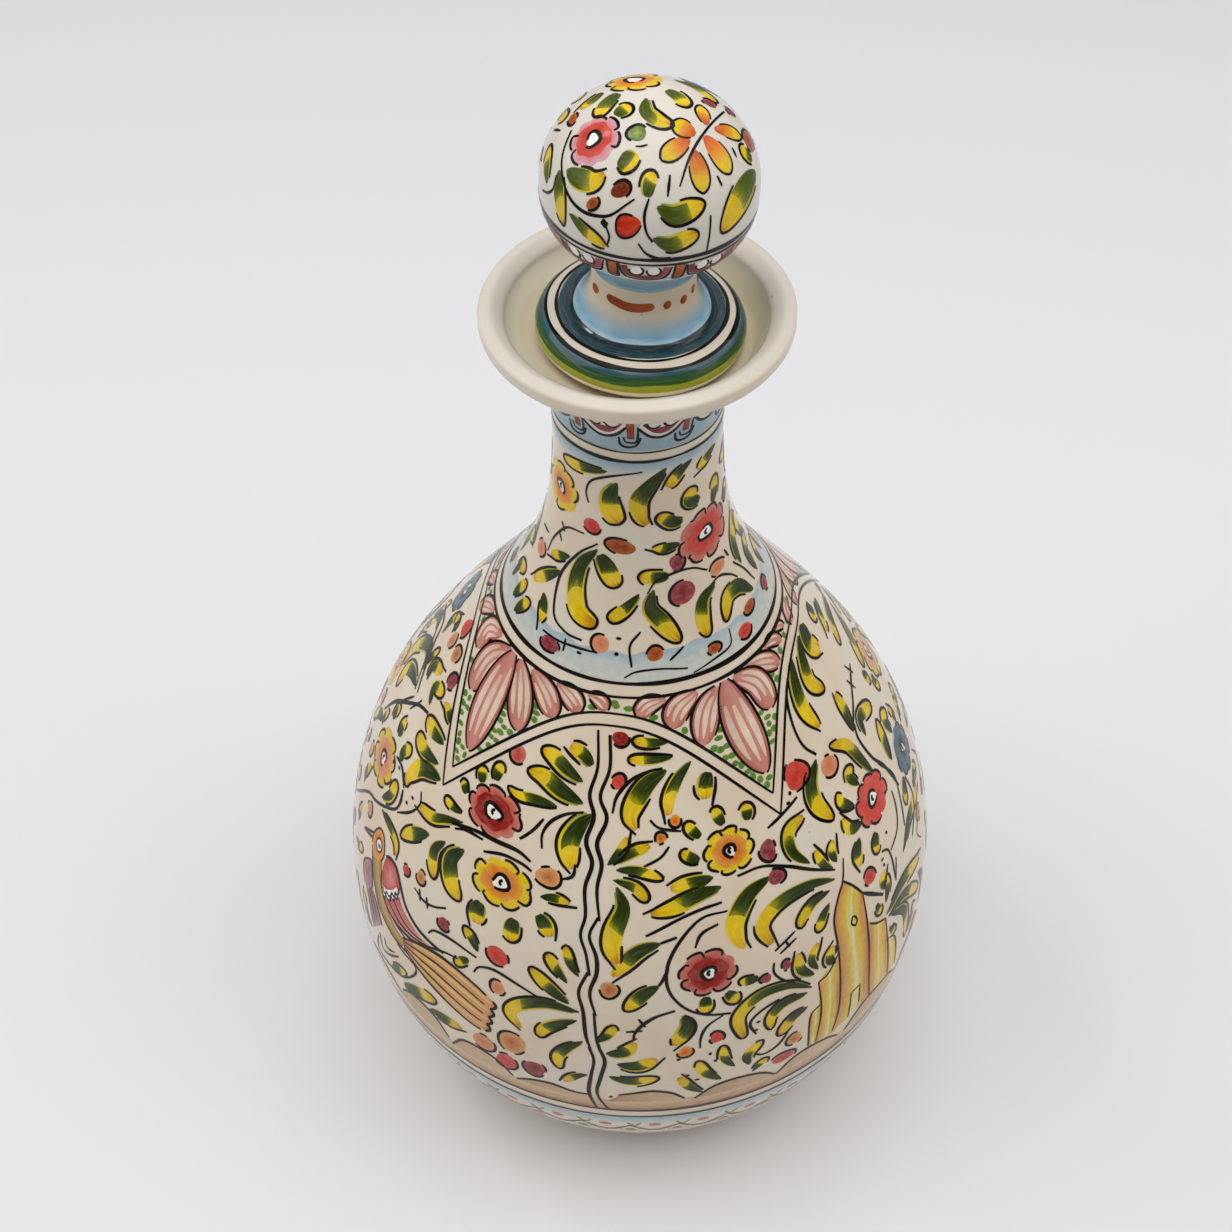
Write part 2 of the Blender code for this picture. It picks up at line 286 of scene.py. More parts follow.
def tinGlaze(tree):
    # Milky tin glaze over buff clay, faintly cloudy, with a rare iron speck. Painted sheen: the glaze is made
    # paler and more neutral on the lip, the neck's top and the ball, and straw tinted in the cup, as painted
    # reflections
    place = add(tree, "ShaderNodeTexCoord").outputs["Object"]
    cloud = add(tree, "ShaderNodeTexNoise", {"Vector": place, "Scale": 1 / glaze["mottle"], "Detail": 2.0})
    body = ramp(tree, cloud.outputs["Fac"], glaze["clouds"])
    x, y, height = add(tree, "ShaderNodeSeparateXYZ", {"Vector": place}).outputs
    squared = maths(tree, "MULTIPLY_ADD", x, x, maths(tree, "MULTIPLY", y, y))
    # Painted sheen and reflection: paler glaze on the lip, the neck's top and the ball's top, straw tint in
    # the cup
    up = between(tree, height, *glaze["heights"])
    out = between(tree, squared, *glaze["outSquared"])
    paintedSheen = maths(tree, "MULTIPLY", ramp(tree, up, glaze["paintedSheenUp"]), ramp(tree, out, glaze["paintedSheenOut"]))
    paintedSheen = maths(tree, "MAXIMUM", paintedSheen, between(tree, height, *glaze["ball"], toHigh=glaze["ballPaintedSheen"]))
    body = mixed(tree, paintedSheen, body, ramp(tree, up, glaze["paintedSheenTints"]))
    speck = add(tree, "ShaderNodeTexVoronoi", {"Vector": place, "Scale": 1 / glaze["speckle"]})
    spot = ramp(tree, speck.outputs["Distance"], glaze["spots"])
    return place, mixed(tree, spot, body, linear(glaze["speck"]))


def fired(material, tree, place, colour, gloss=None):
    # The clear gloss on top of everything: smooth, with the glaze's slow ripple
    ripple = add(tree, "ShaderNodeTexNoise", {"Vector": place, "Scale": 1 / glaze["ripple"], "Detail": 1.0})
    bump = add(tree, "ShaderNodeBump", {"Height": ripple.outputs["Fac"], "Strength": glaze["rippleStrength"],
                                        "Distance": glaze["rippleDepth"]})
    shader = tree.nodes["Principled BSDF"]
    tree.links.new(colour, shader.inputs["Base Color"])
    tree.links.new(bump.outputs["Normal"], shader.inputs["Normal"])
    shader.inputs["Roughness"].default_value = glaze["roughness"]
    shader.inputs["IOR"].default_value = glaze["ior"]
    shader.inputs["Specular IOR Level"].default_value = gloss or glaze["gloss"]
    return material


def bareGlaze(name):
    material = bpy.data.materials.new(name)
    material.use_nodes = True
    place, colour = tinGlaze(material.node_tree)
    return fired(material, material.node_tree, place, colour)


# Pigments under the glaze. Their colours run along a stroke from its root to its tip, or across it.
# cover: how much of the cream the thinnest brushwork hides, bristle: streaks along and across a stroke,
# fade: the wash thins out along its run
pigments = {
    "manganeseBlack": {"colours": [(0, "#070605"), (1, "#0C0A08")], "cover": 0.97},
    "leafGreen": {
        "colours": [(0, "#3E4C0C"), (0.14, "#1F2D05"), (0.72, "#293A06"), (0.9, "#4E5C0C"), (1, "#9A9214")],
        "cover": 0.95,
    },
    "leafYellow": {
        "colours": [(0, "#76841A"), (0.4, "#C9B216"), (0.7, "#E5C414"), (0.9, "#DFB512"), (1, "#C08212")],
        "cover": 0.9,
    },
    "dotGreen": {"colours": [(0, "#47751F"), (1, "#5F8E2C")], "cover": 0.85},
    "mossGreen": {"colours": [(0, "#A3A044"), (0.5, "#6E8436"), (1, "#58722E")], "cover": 0.8},
    "sunYellow": {"colours": [(0, "#DE9220"), (0.6, "#E4BC10"), (1, "#E0C21E")], "cover": 0.86},
    "orange": {"colours": [(0, "#C4480A"), (0.55, "#DA741A"), (1, "#E2A02E")], "cover": 0.86},
    "rust": {"colours": [(0, "#8A3202"), (0.5, "#A4460A"), (1, "#B66024")], "cover": 0.9},
    "amber": {"colours": [(0, "#A85C22"), (0.5, "#C67C40"), (1, "#D29A62")], "cover": 0.84},
    "salmon": {"colours": [(0, "#CC6E46"), (1, "#DC9468")], "cover": 0.82},
    "red": {"colours": [(0, "#BE2A1E"), (1, "#D2483A")], "cover": 0.9},
    "crimson": {"colours": [(0, "#7C0E0C"), (1, "#9C221C")], "cover": 0.92},
    "rose": {"colours": [(0, "#AE322A"), (0.7, "#BD4C44"), (1, "#CC7C6A")], "cover": 0.84},
    "maroon": {"colours": [(0, "#6C1A1E"), (1, "#A04048")], "cover": 0.88},
    "lotusPink": {
        "colours": [(0, "#A9564A"), (0.3, "#C47F70"), (0.7, "#CC8A7A"), (1, "#A9564A")],
        "cover": 0.86, "bristle": (2.2, 14), "acrossStroke": True,
    },
    "petalCream": {
        "colours": [(0, "#D8B09C"), (0.5, "#E4CCB8"), (1, "#DEBEA8")],
        "cover": 0.7, "bristle": (3, 5),
    },
    "cobalt": {"colours": [(0, "#0C1B24"), (0.6, "#1F3A48"), (1, "#4A7083")], "cover": 0.9},
    "deepTeal": {
        "colours": [(0, "#02242C"), (0.5, "#06323C"), (1, "#184E5A")],
        "cover": 0.92, "bristle": (9, 16), "gloss": 0.5,
    },
    "slateTeal": {
        "colours": [(0, "#1B4450"), (0.5, "#2F5A66"), (1, "#3F6C78")],
        "cover": 0.92, "bristle": (9, 16), "gloss": 0.5,
    },
    "crownGreen": {
        "colours": [(0, "#56640E"), (0.14, "#3C4A06"), (0.72, "#4E5C0A"), (0.9, "#727A10"), (1, "#A89C18")],
        "cover": 0.92,
    },
    "brick": {"colours": [(0, "#5E1C02"), (1, "#7E300C")], "cover": 0.94},
    "scarlet": {"colours": [(0, "#BA2204"), (1, "#CC3A10")], "cover": 0.92},
    "pinkRose": {"colours": [(0, "#C0403C"), (0.6, "#CC6E70"), (1, "#DAA0AC")], "cover": 0.84},
    "skyWash": {
        "colours": [(0, "#9DC0CF"), (0.25, "#74AECD"), (1, "#A8C9D6")],
        "cover": 0.82, "bristle": (5, 12), "fade": True, "gloss": 0.4,
    },
    "paleSky": {
        "colours": [(0, "#CFCFC3"), (0.6, "#C2C9C4"), (1, "#A8BEC6")],
        "cover": 0.84, "bristle": (5, 12),
    },
    "slateWash": {
        "colours": [(0, "#98B2BD"), (0.5, "#AEC0C7"), (1, "#C4CFD2")],
        "cover": 0.86, "bristle": (5, 12), "fade": True,
    },
    "ringGreen": {
        "colours": [(0, "#94960A"), (0.42, "#9C9F10"), (0.49, "#225412"), (1, "#1F4C24")],
        "cover": 0.92, "bristle": (7, 14), "gloss": 0.5,
    },
    "earthTaupe": {
        "colours": [(0, "#9A7044"), (0.3, "#BE9668"), (1, "#D8BE9A")],
        "cover": 0.66, "bristle": (5, 110),
    },
    "towerYellow": {
        "colours": [(0, "#CC8044"), (0.2, "#DAA84A"), (0.4, "#E2C640"), (0.52, "#E4DDB4"),
                    (0.6, "#E0C646"), (0.84, "#D9AC46"), (1, "#CC8044")],
        "cover": 0.88, "acrossStroke": True,
    },
    "tinWhite": {"colours": [(0, "#F2EEE6"), (1, "#F2EEE6")], "cover": 0.88},
    "bareCream": {"colours": [(0, "#E4DCCB"), (1, "#E9E1D2")], "cover": 0.9},
    "straw": {"colours": [(0, "#D9AE5E"), (1, "#E6C67A")], "cover": 0.86},
    "wingRose": {"colours": [(0, "#DA8E84"), (0.62, "#CA5A54"), (1, "#B63030")], "cover": 0.86},
    "ochre": {
        "colours": [(0, "#6C6026"), (0.3, "#A07E2E"), (0.65, "#C69C40"), (1, "#9C6C28")],
        "cover": 0.88, "acrossStroke": True,
    },
    "plumeRed": {
        "colours": [(0, "#BE4446"), (0.45, "#CA7068"), (1, "#DFAC9C")],
        "cover": 0.84, "bristle": (2.2, 12),
    },
    "plumeMauve": {"colours": [(0, "#8A3440"), (1, "#A9747C")], "cover": 0.84, "bristle": (2.2, 10)},
    "plumeSalmon": {
        "colours": [(0, "#C07A46"), (0.5, "#D2945E"), (1, "#D69A66")],
        "cover": 0.86, "bristle": (1.2, 12),
    },
}
brush = {
    "bristle": (2.2, 6.0), "apart": 60.0, "wobble": 0.5, "detail": 3.0, "thin": (0.33, 0.55), "fading": 2.2,
    "blot": 0.0016, "blotDepth": 0.36, "darkest": 0.66, "tinted": 0.32,
}


def underglaze(name, recipe):
    # Metal-oxide paint on raw tin glaze: it sinks in, pools where the brush rests and thins in streaks
    material = bpy.data.materials.new(name)
    material.use_nodes = True
    tree = material.node_tree
    place, cream = tinGlaze(tree)
    uv = add(tree, "ShaderNodeUVMap", uv_map="stroke").outputs["UV"]
    x, y, _ = add(tree, "ShaderNodeSeparateXYZ", {"Vector": uv}).outputs
    tint = add(tree, "ShaderNodeAttribute", attribute_name="tint").outputs["Fac"]
    scales = (*recipe.get("bristle", brush["bristle"]), brush["apart"])
    streaks = [maths(tree, "MULTIPLY", value, scale) for value, scale in zip((x, y, tint), scales)]
    bristle = add(tree, "ShaderNodeCombineXYZ", dict(zip("XYZ", streaks))).outputs[0]
    pool = add(tree, "ShaderNodeTexNoise", {"Vector": bristle, "Scale": 1.0, "Detail": brush["detail"]})
    wobble = maths(tree, "MULTIPLY_ADD", pool.outputs["Fac"], brush["wobble"], -brush["wobble"] / 2)
    along = maths(tree, "ADD", y if recipe.get("acrossStroke") else x, wobble, clamp=True)
    paint = ramp(tree, along, recipe["colours"])
    blot = add(tree, "ShaderNodeTexNoise", {"Vector": place, "Scale": 1 / brush["blot"], "Detail": 2.0})
    depth = maths(tree, "MULTIPLY_ADD", blot.outputs["Fac"], brush["blotDepth"], brush["darkest"])
    shade = maths(tree, "MULTIPLY_ADD", tint, brush["tinted"], depth)
    toned = add(tree, "ShaderNodeHueSaturation", {"Color": paint, "Value": shade}).outputs["Color"]
    amount = between(tree, pool.outputs["Fac"], *brush["thin"], toLow=recipe["cover"])
    if recipe.get("fade"):
        thin = maths(tree, "SUBTRACT", 1.0, maths(tree, "POWER", x, brush["fading"]), clamp=True)
        amount = maths(tree, "MULTIPLY", amount, thin)
    return fired(material, tree, place, mixed(tree, amount, cream, toned), recipe.get("gloss"))


# Where the brush can go. kind: round the piece, or on the crown seen from above (x right, y back, in mm)
onBody = {"body": "carafe", "line": bodyLine, "kind": "round", "repeat": 1, "steps": 256}
onKnob = {"body": "stopper", "line": knobLine, "kind": "round", "repeat": 1, "steps": 160}
onCrown = {"body": "stopper", "line": knobLine, "kind": "crown", "repeat": 1}
# Height of the lowest layer above the glaze, and of each layer above the last, in mm. Washes are on layers
# 0 to 3, leaves on 4 and 5, blooms and berries on 5 to 7, black lines on 9 and 10
coat = {"first": 0.02, "step": 0.008}
weave = {"finest": 0.34, "coarser": 88}  # mm, and the radius in mm that makes an edge 1 mm longer
painted = {}


def millimetresPerUnit(chart, s):
    if chart["kind"] == "crown":
        return np.ones_like(np.asarray(s, float))
    return np.interp(s, chart["line"]["s"], chart["line"]["r"]) * math.pi / 180


def grain(chart, s):
    # Longest edge of the paint's mesh, short enough for each layer to stay above the one below
    if chart["kind"] == "crown":
        return weave["finest"] + stopper["ballRadius"] / weave["coarser"]
    radius = float(np.mean(millimetresPerUnit(chart, s))) * 180 / math.pi
    return weave["finest"] + radius / weave["coarser"]


def spots(chart, x, y, layer):
    line = chart["line"]
    s = line["s"][-1] - np.hypot(x, y) if chart["kind"] == "crown" else y
    angle = np.arctan2(x, -y) if chart["kind"] == "crown" else np.radians(x)
    lift = coat["first"] + coat["step"] * layer - line["inset"]
    r = np.interp(s, line["s"], line["r"]) + lift * np.interp(s, line["s"], line["nr"])
    z = np.interp(s, line["s"], line["z"]) + lift * np.interp(s, line["s"], line["nz"])
    return np.c_[r * np.sin(angle), -r * np.cos(angle), z], s


def touch(chart, paint, x, y, faces, along, across, layer, tint):
    points, s = spots(chart, np.ravel(x), np.ravel(y), layer)
    job = painted.setdefault((chart["body"], paint, chart["repeat"]), [])
    job.append((points, faces, np.ravel(along), np.ravel(across), np.full(len(s), tint), s))


def lay(chart, paint, x, y, faces, along, across, layer, tint):
    # One touch of paint; its faces are turned to look outwards
    flat = np.c_[np.ravel(x), np.ravel(y)]
    a, b, c = (flat[[face[i] for face in faces]] for i in range(3))
    b, c = b - a, c - a
    if (b[:, 0] * c[:, 1] - c[:, 0] * b[:, 1]).sum() < 0:
        faces = [face[::-1] for face in faces]
    tint = hand.uniform(0.2, 0.8) if tint is None else tint
    touch(chart, paint, x, y, faces, along, across, layer, tint)


def gridFaces(rows, columns, closed=False):
    faces = []
    for i in range(rows - 1):
        for j in range(columns if closed else columns - 1):
            k = (j + 1) % columns
            faces.append((i * columns + j, i * columns + k, (i + 1) * columns + k, (i + 1) * columns + j))
    return faces


def smooth(corners, count):
    # Smooth curve through its corners
    p = np.reshape(np.asarray(corners, float), (-1, 2))
    if len(p) == 2:
        t = np.linspace(0, 1, count)[:, None]
        return p[0] * (1 - t) + p[1] * t
    e = np.vstack([2 * p[0] - p[1], p, 2 * p[-1] - p[-2]])
    t = np.linspace(0, len(p) - 1, count)
    i = np.minimum(t.astype(int), len(p) - 2)
    f = (t - i)[:, None]
    a, b, c, d = e[i], e[i + 1], e[i + 2], e[i + 3]
    square, cube = 2 * a - 5 * b + 4 * c - d, 3 * b - a - 3 * c + d
    return 0.5 * (2 * b + (c - a) * f + square * f ** 2 + cube * f ** 3)


def even(chart, dense):
    # The same curve with its points evenly apart in real millimetres, and its length in them
    k = millimetresPerUnit(chart, (dense[1:, 1] + dense[:-1, 1]) / 2)
    reach = np.r_[0, np.cumsum(np.hypot(np.diff(dense[:, 0]) * k, np.diff(dense[:, 1])))]
    count = max(5, math.ceil(reach[-1] / grain(chart, dense[:, 1])) + 1)
    t = np.linspace(0, reach[-1], count)
    return np.c_[np.interp(t, reach, dense[:, 0]), np.interp(t, reach, dense[:, 1])], reach[-1]


def sides(chart, path):
    # Unit step to the left of a path, in chart units
    k = millimetresPerUnit(chart, path[:, 1])
    dx, dy = np.gradient(path[:, 0]) * k, np.gradient(path[:, 1])
    length = np.maximum(np.hypot(dx, dy), 1e-9)
    return np.c_[-dy / length / k, dx / length]


def ribbon(chart, paint, path, width, layer, columns=1, span=(0, 1), slant=0.0, bulge=0.0, tint=None):
    # A brush stroke of changing width along a path
    base = np.linspace(0, 1, len(path))
    across = np.linspace(-1, 1, columns + 1)[None, :]
    rows = max(3, round(len(path) * (span[1] - span[0])) + 1)
    end = span[1] + slant * across + bulge * (1 - across ** 2)
    t = np.clip(span[0] + (end - span[0]) * np.linspace(0, 1, rows)[:, None], 0, 1)
    side = sides(chart, path)
    half = np.interp(t, base, np.maximum(width, 0.06)) / 2 * across
    x = np.interp(t, base, path[:, 0]) + np.interp(t, base, side[:, 0]) * half
    y = np.interp(t, base, path[:, 1]) + np.interp(t, base, side[:, 1]) * half
    along = np.repeat(np.linspace(0, 1, rows)[:, None], columns + 1, 1)
    across = np.repeat(across * 0.5 + 0.5, rows, 0)
    lay(chart, paint, x, y, gridFaces(rows, columns + 1), along, across, layer, tint)


def patch(chart, paint, centre, outline, layer, tint=None):
    # A filled shape from its middle out to its outline
    outline, centre = np.asarray(outline), np.asarray(centre, float)
    k = float(millimetresPerUnit(chart, centre[1]))
    size = np.hypot((outline[:, 0] - centre[0]) * k, outline[:, 1] - centre[1]).max()
    rings = max(2, math.ceil(size / grain(chart, centre[1:])))
    part = np.linspace(0, 1, rings + 1)[1:, None, None]
    grid = centre + (outline - centre)[None] * part
    x, y = np.r_[centre[0], grid[..., 0].ravel()], np.r_[centre[1], grid[..., 1].ravel()]
    m = len(outline)
    faces = [(0, 1 + (j + 1) % m, 1 + j) for j in range(m)]
    faces += [tuple(1 + v for v in face) for face in gridFaces(rings, m, closed=True)]
    along = np.r_[0, np.repeat(part.ravel(), m)]
    across = np.r_[0, np.tile(np.linspace(0, 1, m), rings)]
    lay(chart, paint, x, y, faces, along, across, layer, tint)


def loft(chart, paint, first, second, layer, rows=4, tint=None):
    # Paint filled in between two edges
    count = max(len(first), len(second), 40)
    a, b = smooth(first, count), smooth(second, count)
    part = np.linspace(0, 1, rows + 1)[:, None]
    x = a[None, :, 0] * (1 - part) + b[None, :, 0] * part
    y = a[None, :, 1] * (1 - part) + b[None, :, 1] * part
    along, across = np.repeat(np.linspace(0, 1, count)[None], rows + 1, 0), np.repeat(part, count, 1)
    lay(chart, paint, x, y, gridFaces(rows + 1, count), along, across, layer, tint)


def wave(angle, times, shift=0):
    return np.sin(np.radians(angle * times + shift))


def band(chart, paint, low, high, layer, rows=3, ragged=0.0):
    # A ring of colour with a hand-held edge; its colour runs from low to high, which may lie below low
    count = chart["steps"]
    angle = np.linspace(0, 360, count, endpoint=False)
    edge = 0.12 * wave(angle, 3, 40) + 0.08 * wave(angle, 7, low * 9)
    torn = ragged * (wave(angle, 17) + wave(angle, 29, 50) + wave(angle, 5))
    part = np.linspace(0, 1, rows + 1)[:, None]
    y = low + edge * 0.6 + (high - low) * part + (edge * 0.4 + torn) * part
    faces = gridFaces(rows + 1, count, closed=True)
    faces = faces if high > low else [face[::-1] for face in faces]
    along, across = np.repeat(part, count, 1), np.tile(np.arange(count) / count, rows + 1)
    touch(chart, paint, np.tile(angle, rows + 1), y, faces, along, across, layer, 0.5)


def ringLine(chart, height, width):
    # A black line put on while the piece turns under the brush: its thickness comes and goes
    count = chart["steps"]
    angle = np.linspace(0, 360, count, endpoint=False)
    rise = 0.10 * wave(angle, 2, height * 31) + 0.06 * wave(angle, 5, height * 17)
    half = width / 2 * (1 + 0.22 * wave(angle, 3, height * 23) + 0.12 * wave(angle, 11))
    y = np.stack([height + rise - half, height + rise + half])
    along, across = np.tile(np.arange(count) / count, 2), np.repeat([0.0, 1.0], count)
    faces = gridFaces(2, count, closed=True)
    touch(chart, "manganeseBlack", np.tile(angle, 2), y, faces, along, across, 9, 0.5)


def line(chart, *corners, width=0.7, layer=9, paint="manganeseBlack"):
    # A pen-like stroke, thin at its ends and unsteady on the way
    path = even(chart, smooth(corners, 24 * max(1, len(corners) // 2 - 1) + 1))[0]
    t = np.linspace(0, 1, len(path))
    swell = 0.62 + 0.38 * np.sin(math.pi * np.clip(t * 0.9 + 0.05, 0, 1)) + 0.10 * np.sin(9 * t + corners[0])
    ribbon(chart, paint, path, 1.22 * width * swell, layer)


def lineAlong(chart, path, width, layer=9):
    path = even(chart, path)[0]
    t = np.linspace(0, 1, len(path))
    swell = 0.55 + 0.45 * np.sin(math.pi * np.clip(t * 0.86 + 0.07, 0, 1))
    ribbon(chart, "manganeseBlack", path, 1.2 * width * swell, layer)


def leaf(chart, width, *corners, outline):
    # A comma of two brushes, dark green from the root and yellow at the tip, with a loose black line
    corners = np.reshape(corners, (-1, 2))
    if len(corners) == 2:
        k = float(millimetresPerUnit(chart, corners[:, 1].mean()))
        step = (corners[1] - corners[0]) * (k, 1)
        bow = np.array([-step[1] / k, step[0]]) * hand.choice([-1, 1]) * 0.07
        corners = np.array([corners[0], corners.mean(0) + bow, corners[1]])
    path, length = even(chart, smooth(corners, 24 * (len(corners) - 1) + 1))
    t = np.linspace(0, 1, len(path))
    if length < 2.1 * width:  # a bud: blunt at both ends
        form = (t + 0.05) ** 0.42 * (1.0 - t * 0.98) ** 0.36
    else:
        form = (t + 0.02) ** 0.72 * (1.0 - t * 0.985) ** hand.uniform(0.34, 0.7)
    full = width * form / form.max()
    columns = max(3, math.ceil(width / (1.2 * grain(chart, path[:, 1]))))
    side = sides(chart, path)
    beside = path + side * (hand.uniform(-0.09, 0.09) * width)
    cut, slant, bulge = hand.uniform(0.55, 0.68), hand.uniform(-0.07, 0.07), hand.uniform(-0.06, 0.06)
    ribbon(chart, "leafYellow", path, full, 4, columns, (0.05, 1.0))
    green = "crownGreen" if chart["kind"] == "crown" else "leafGreen"
    ribbon(chart, green, beside, full * hand.uniform(0.82, 0.94), 5, columns, (0.0, cut), slant, bulge)
    loose = 0.03 + outline * hand.uniform(0.1, 0.75)
    left = path + side * (full / 2 + loose)[:, None]
    right = path - side * (full / 2 + loose)[:, None]
    tip = (path[-1] - path[-2]) / max(grain(chart, path[:, 1]), 0.1)
    far, near = (left, right) if hand.random() < 0.5 else (right, left)
    a, b = int(len(path) * hand.uniform(0.06, 0.34)), int(len(path) * hand.uniform(0.5, 0.85))
    if hand.random() < 0.35 and length > 5:  # the line runs past the tip as a tail
        tail = far[-1] + tip * hand.uniform(0.8, 2.2)
        lineAlong(chart, smooth(np.vstack([far[a:-1], tail[None]]), len(far) * 2), outline)
        if hand.random() < 0.6:
            lineAlong(chart, smooth(near[b - 1:], len(near)), outline * 0.9)
    else:
        around = np.vstack([far[a:], (path[-1] + tip * (loose + 0.1))[None], near[b:][::-1]])
        lineAlong(chart, smooth(around, len(around) * 2), outline)


def ellipseOutline(chart, x, y, across, high, count, form=None):
    angle = np.linspace(0, 2 * math.pi, count, endpoint=False)
    k = float(millimetresPerUnit(chart, y))
    r = np.ones(count) if form is None else form(angle)
    return np.c_[x + across * r * np.cos(angle) / k, y + high * r * np.sin(angle)]


def blob(chart, paint, x, y, across, high, count, layer, form=None, tint=None):
    patch(chart, paint, (x, y), ellipseOutline(chart, x, y, across, high, count, form), layer, tint)


def berry(chart, paint, x, y, across, high, outline):
    waves = hand.uniform(-1, 1, 6)

    def form(a):
        lumps = 1 + 0.09 * waves[0] * np.sin(2 * a + waves[1] * 3)
        return lumps + 0.08 * waves[2] * np.sin(3 * a + waves[3] * 3)

    blob(chart, paint, x, y, across * 0.94, high * 0.94, 22, 6, form)
    rim = ellipseOutline(chart, x, y, across * 1.04, high * 1.04, 40, form)
    start, length = int(hand.integers(0, 40)), int(hand.integers(17, 27))
    lineAlong(chart, rim[(np.arange(length) + start) % 40], outline)
    if hand.random() < 0.6:
        lineAlong(chart, rim[(np.arange(int(hand.integers(5, 9))) + start + length + 3) % 40], outline * 0.8)


def flower(chart, outer, inner, x, y, across, high, outline):
    # Scalloped bloom: brushed petals nicked by short black strokes, a darker ring, a white eye. The eye has
    # a black hook, but not on the crown, where the blooms are small
    lobes = 8
    phase = hand.uniform(0, 6)

    def form(a):
        scallops = np.abs(np.sin(lobes * (a + 0.16 * np.sin(2 * a + phase)) / 2 + phase)) ** 0.5
        return 0.84 + 0.16 * scallops + 0.03 * np.sin(a + phase)

    def soft(a):
        return 0.70 + 0.03 * np.sin(5 * a + phase) + 0.03 * np.sin(9 * a)

    def lump(a):
        return 1 + 0.12 * np.sin(3 * a + phase) + 0.10 * np.sin(2 * a + phase * 2)

    blob(chart, outer, x, y, across, high, 72, 5, form)
    blob(chart, inner, x, y, across, high, 40, 6, soft)
    k = float(millimetresPerUnit(chart, y))
    start = int(hand.integers(0, 24))
    for i in range(lobes):  # each petal's line starts a little inside and swings out round its edge
        if hand.random() < 0.86:
            first = (i * math.pi - phase) * 2 / lobes
            angle = first + np.linspace(0.04, hand.uniform(0.8, 1.04), 14) * 2 * math.pi / lobes
            reach = 1.03 * form(angle)
            reach[0] = hand.uniform(0.7, 0.84)
            edge = np.c_[x + across * reach * np.cos(angle) / k, y + high * reach * np.sin(angle)]
            lineAlong(chart, smooth(edge, 40), outline * 0.95)
    middle = 0.26 + 0.03 * math.sin(phase)
    blob(chart, "tinWhite", x, y, across * middle, high * middle, 20, 7, lump)
    rim = ellipseOutline(chart, x, y, across * middle * 1.1, high * middle * 1.1, 24, lump)
    lineAlong(chart, rim[(np.arange(22) + start) % 24], outline * 1.3)
    if chart["kind"] != "crown":
        hook = [x + 0.4 / k, y + 0.7, x - 0.3 / k, y + 0.35, x - 0.25 / k, y - 0.3, x + 0.3 / k, y - 0.5]
        line(chart, *hook, width=outline * 1.1)


def dot(chart, x, y, size=0.5, paint="manganeseBlack", layer=9):
    stretch = hand.uniform(0.8, 1.4)
    blob(chart, paint, x, y, size * stretch, size / stretch, 9, layer)


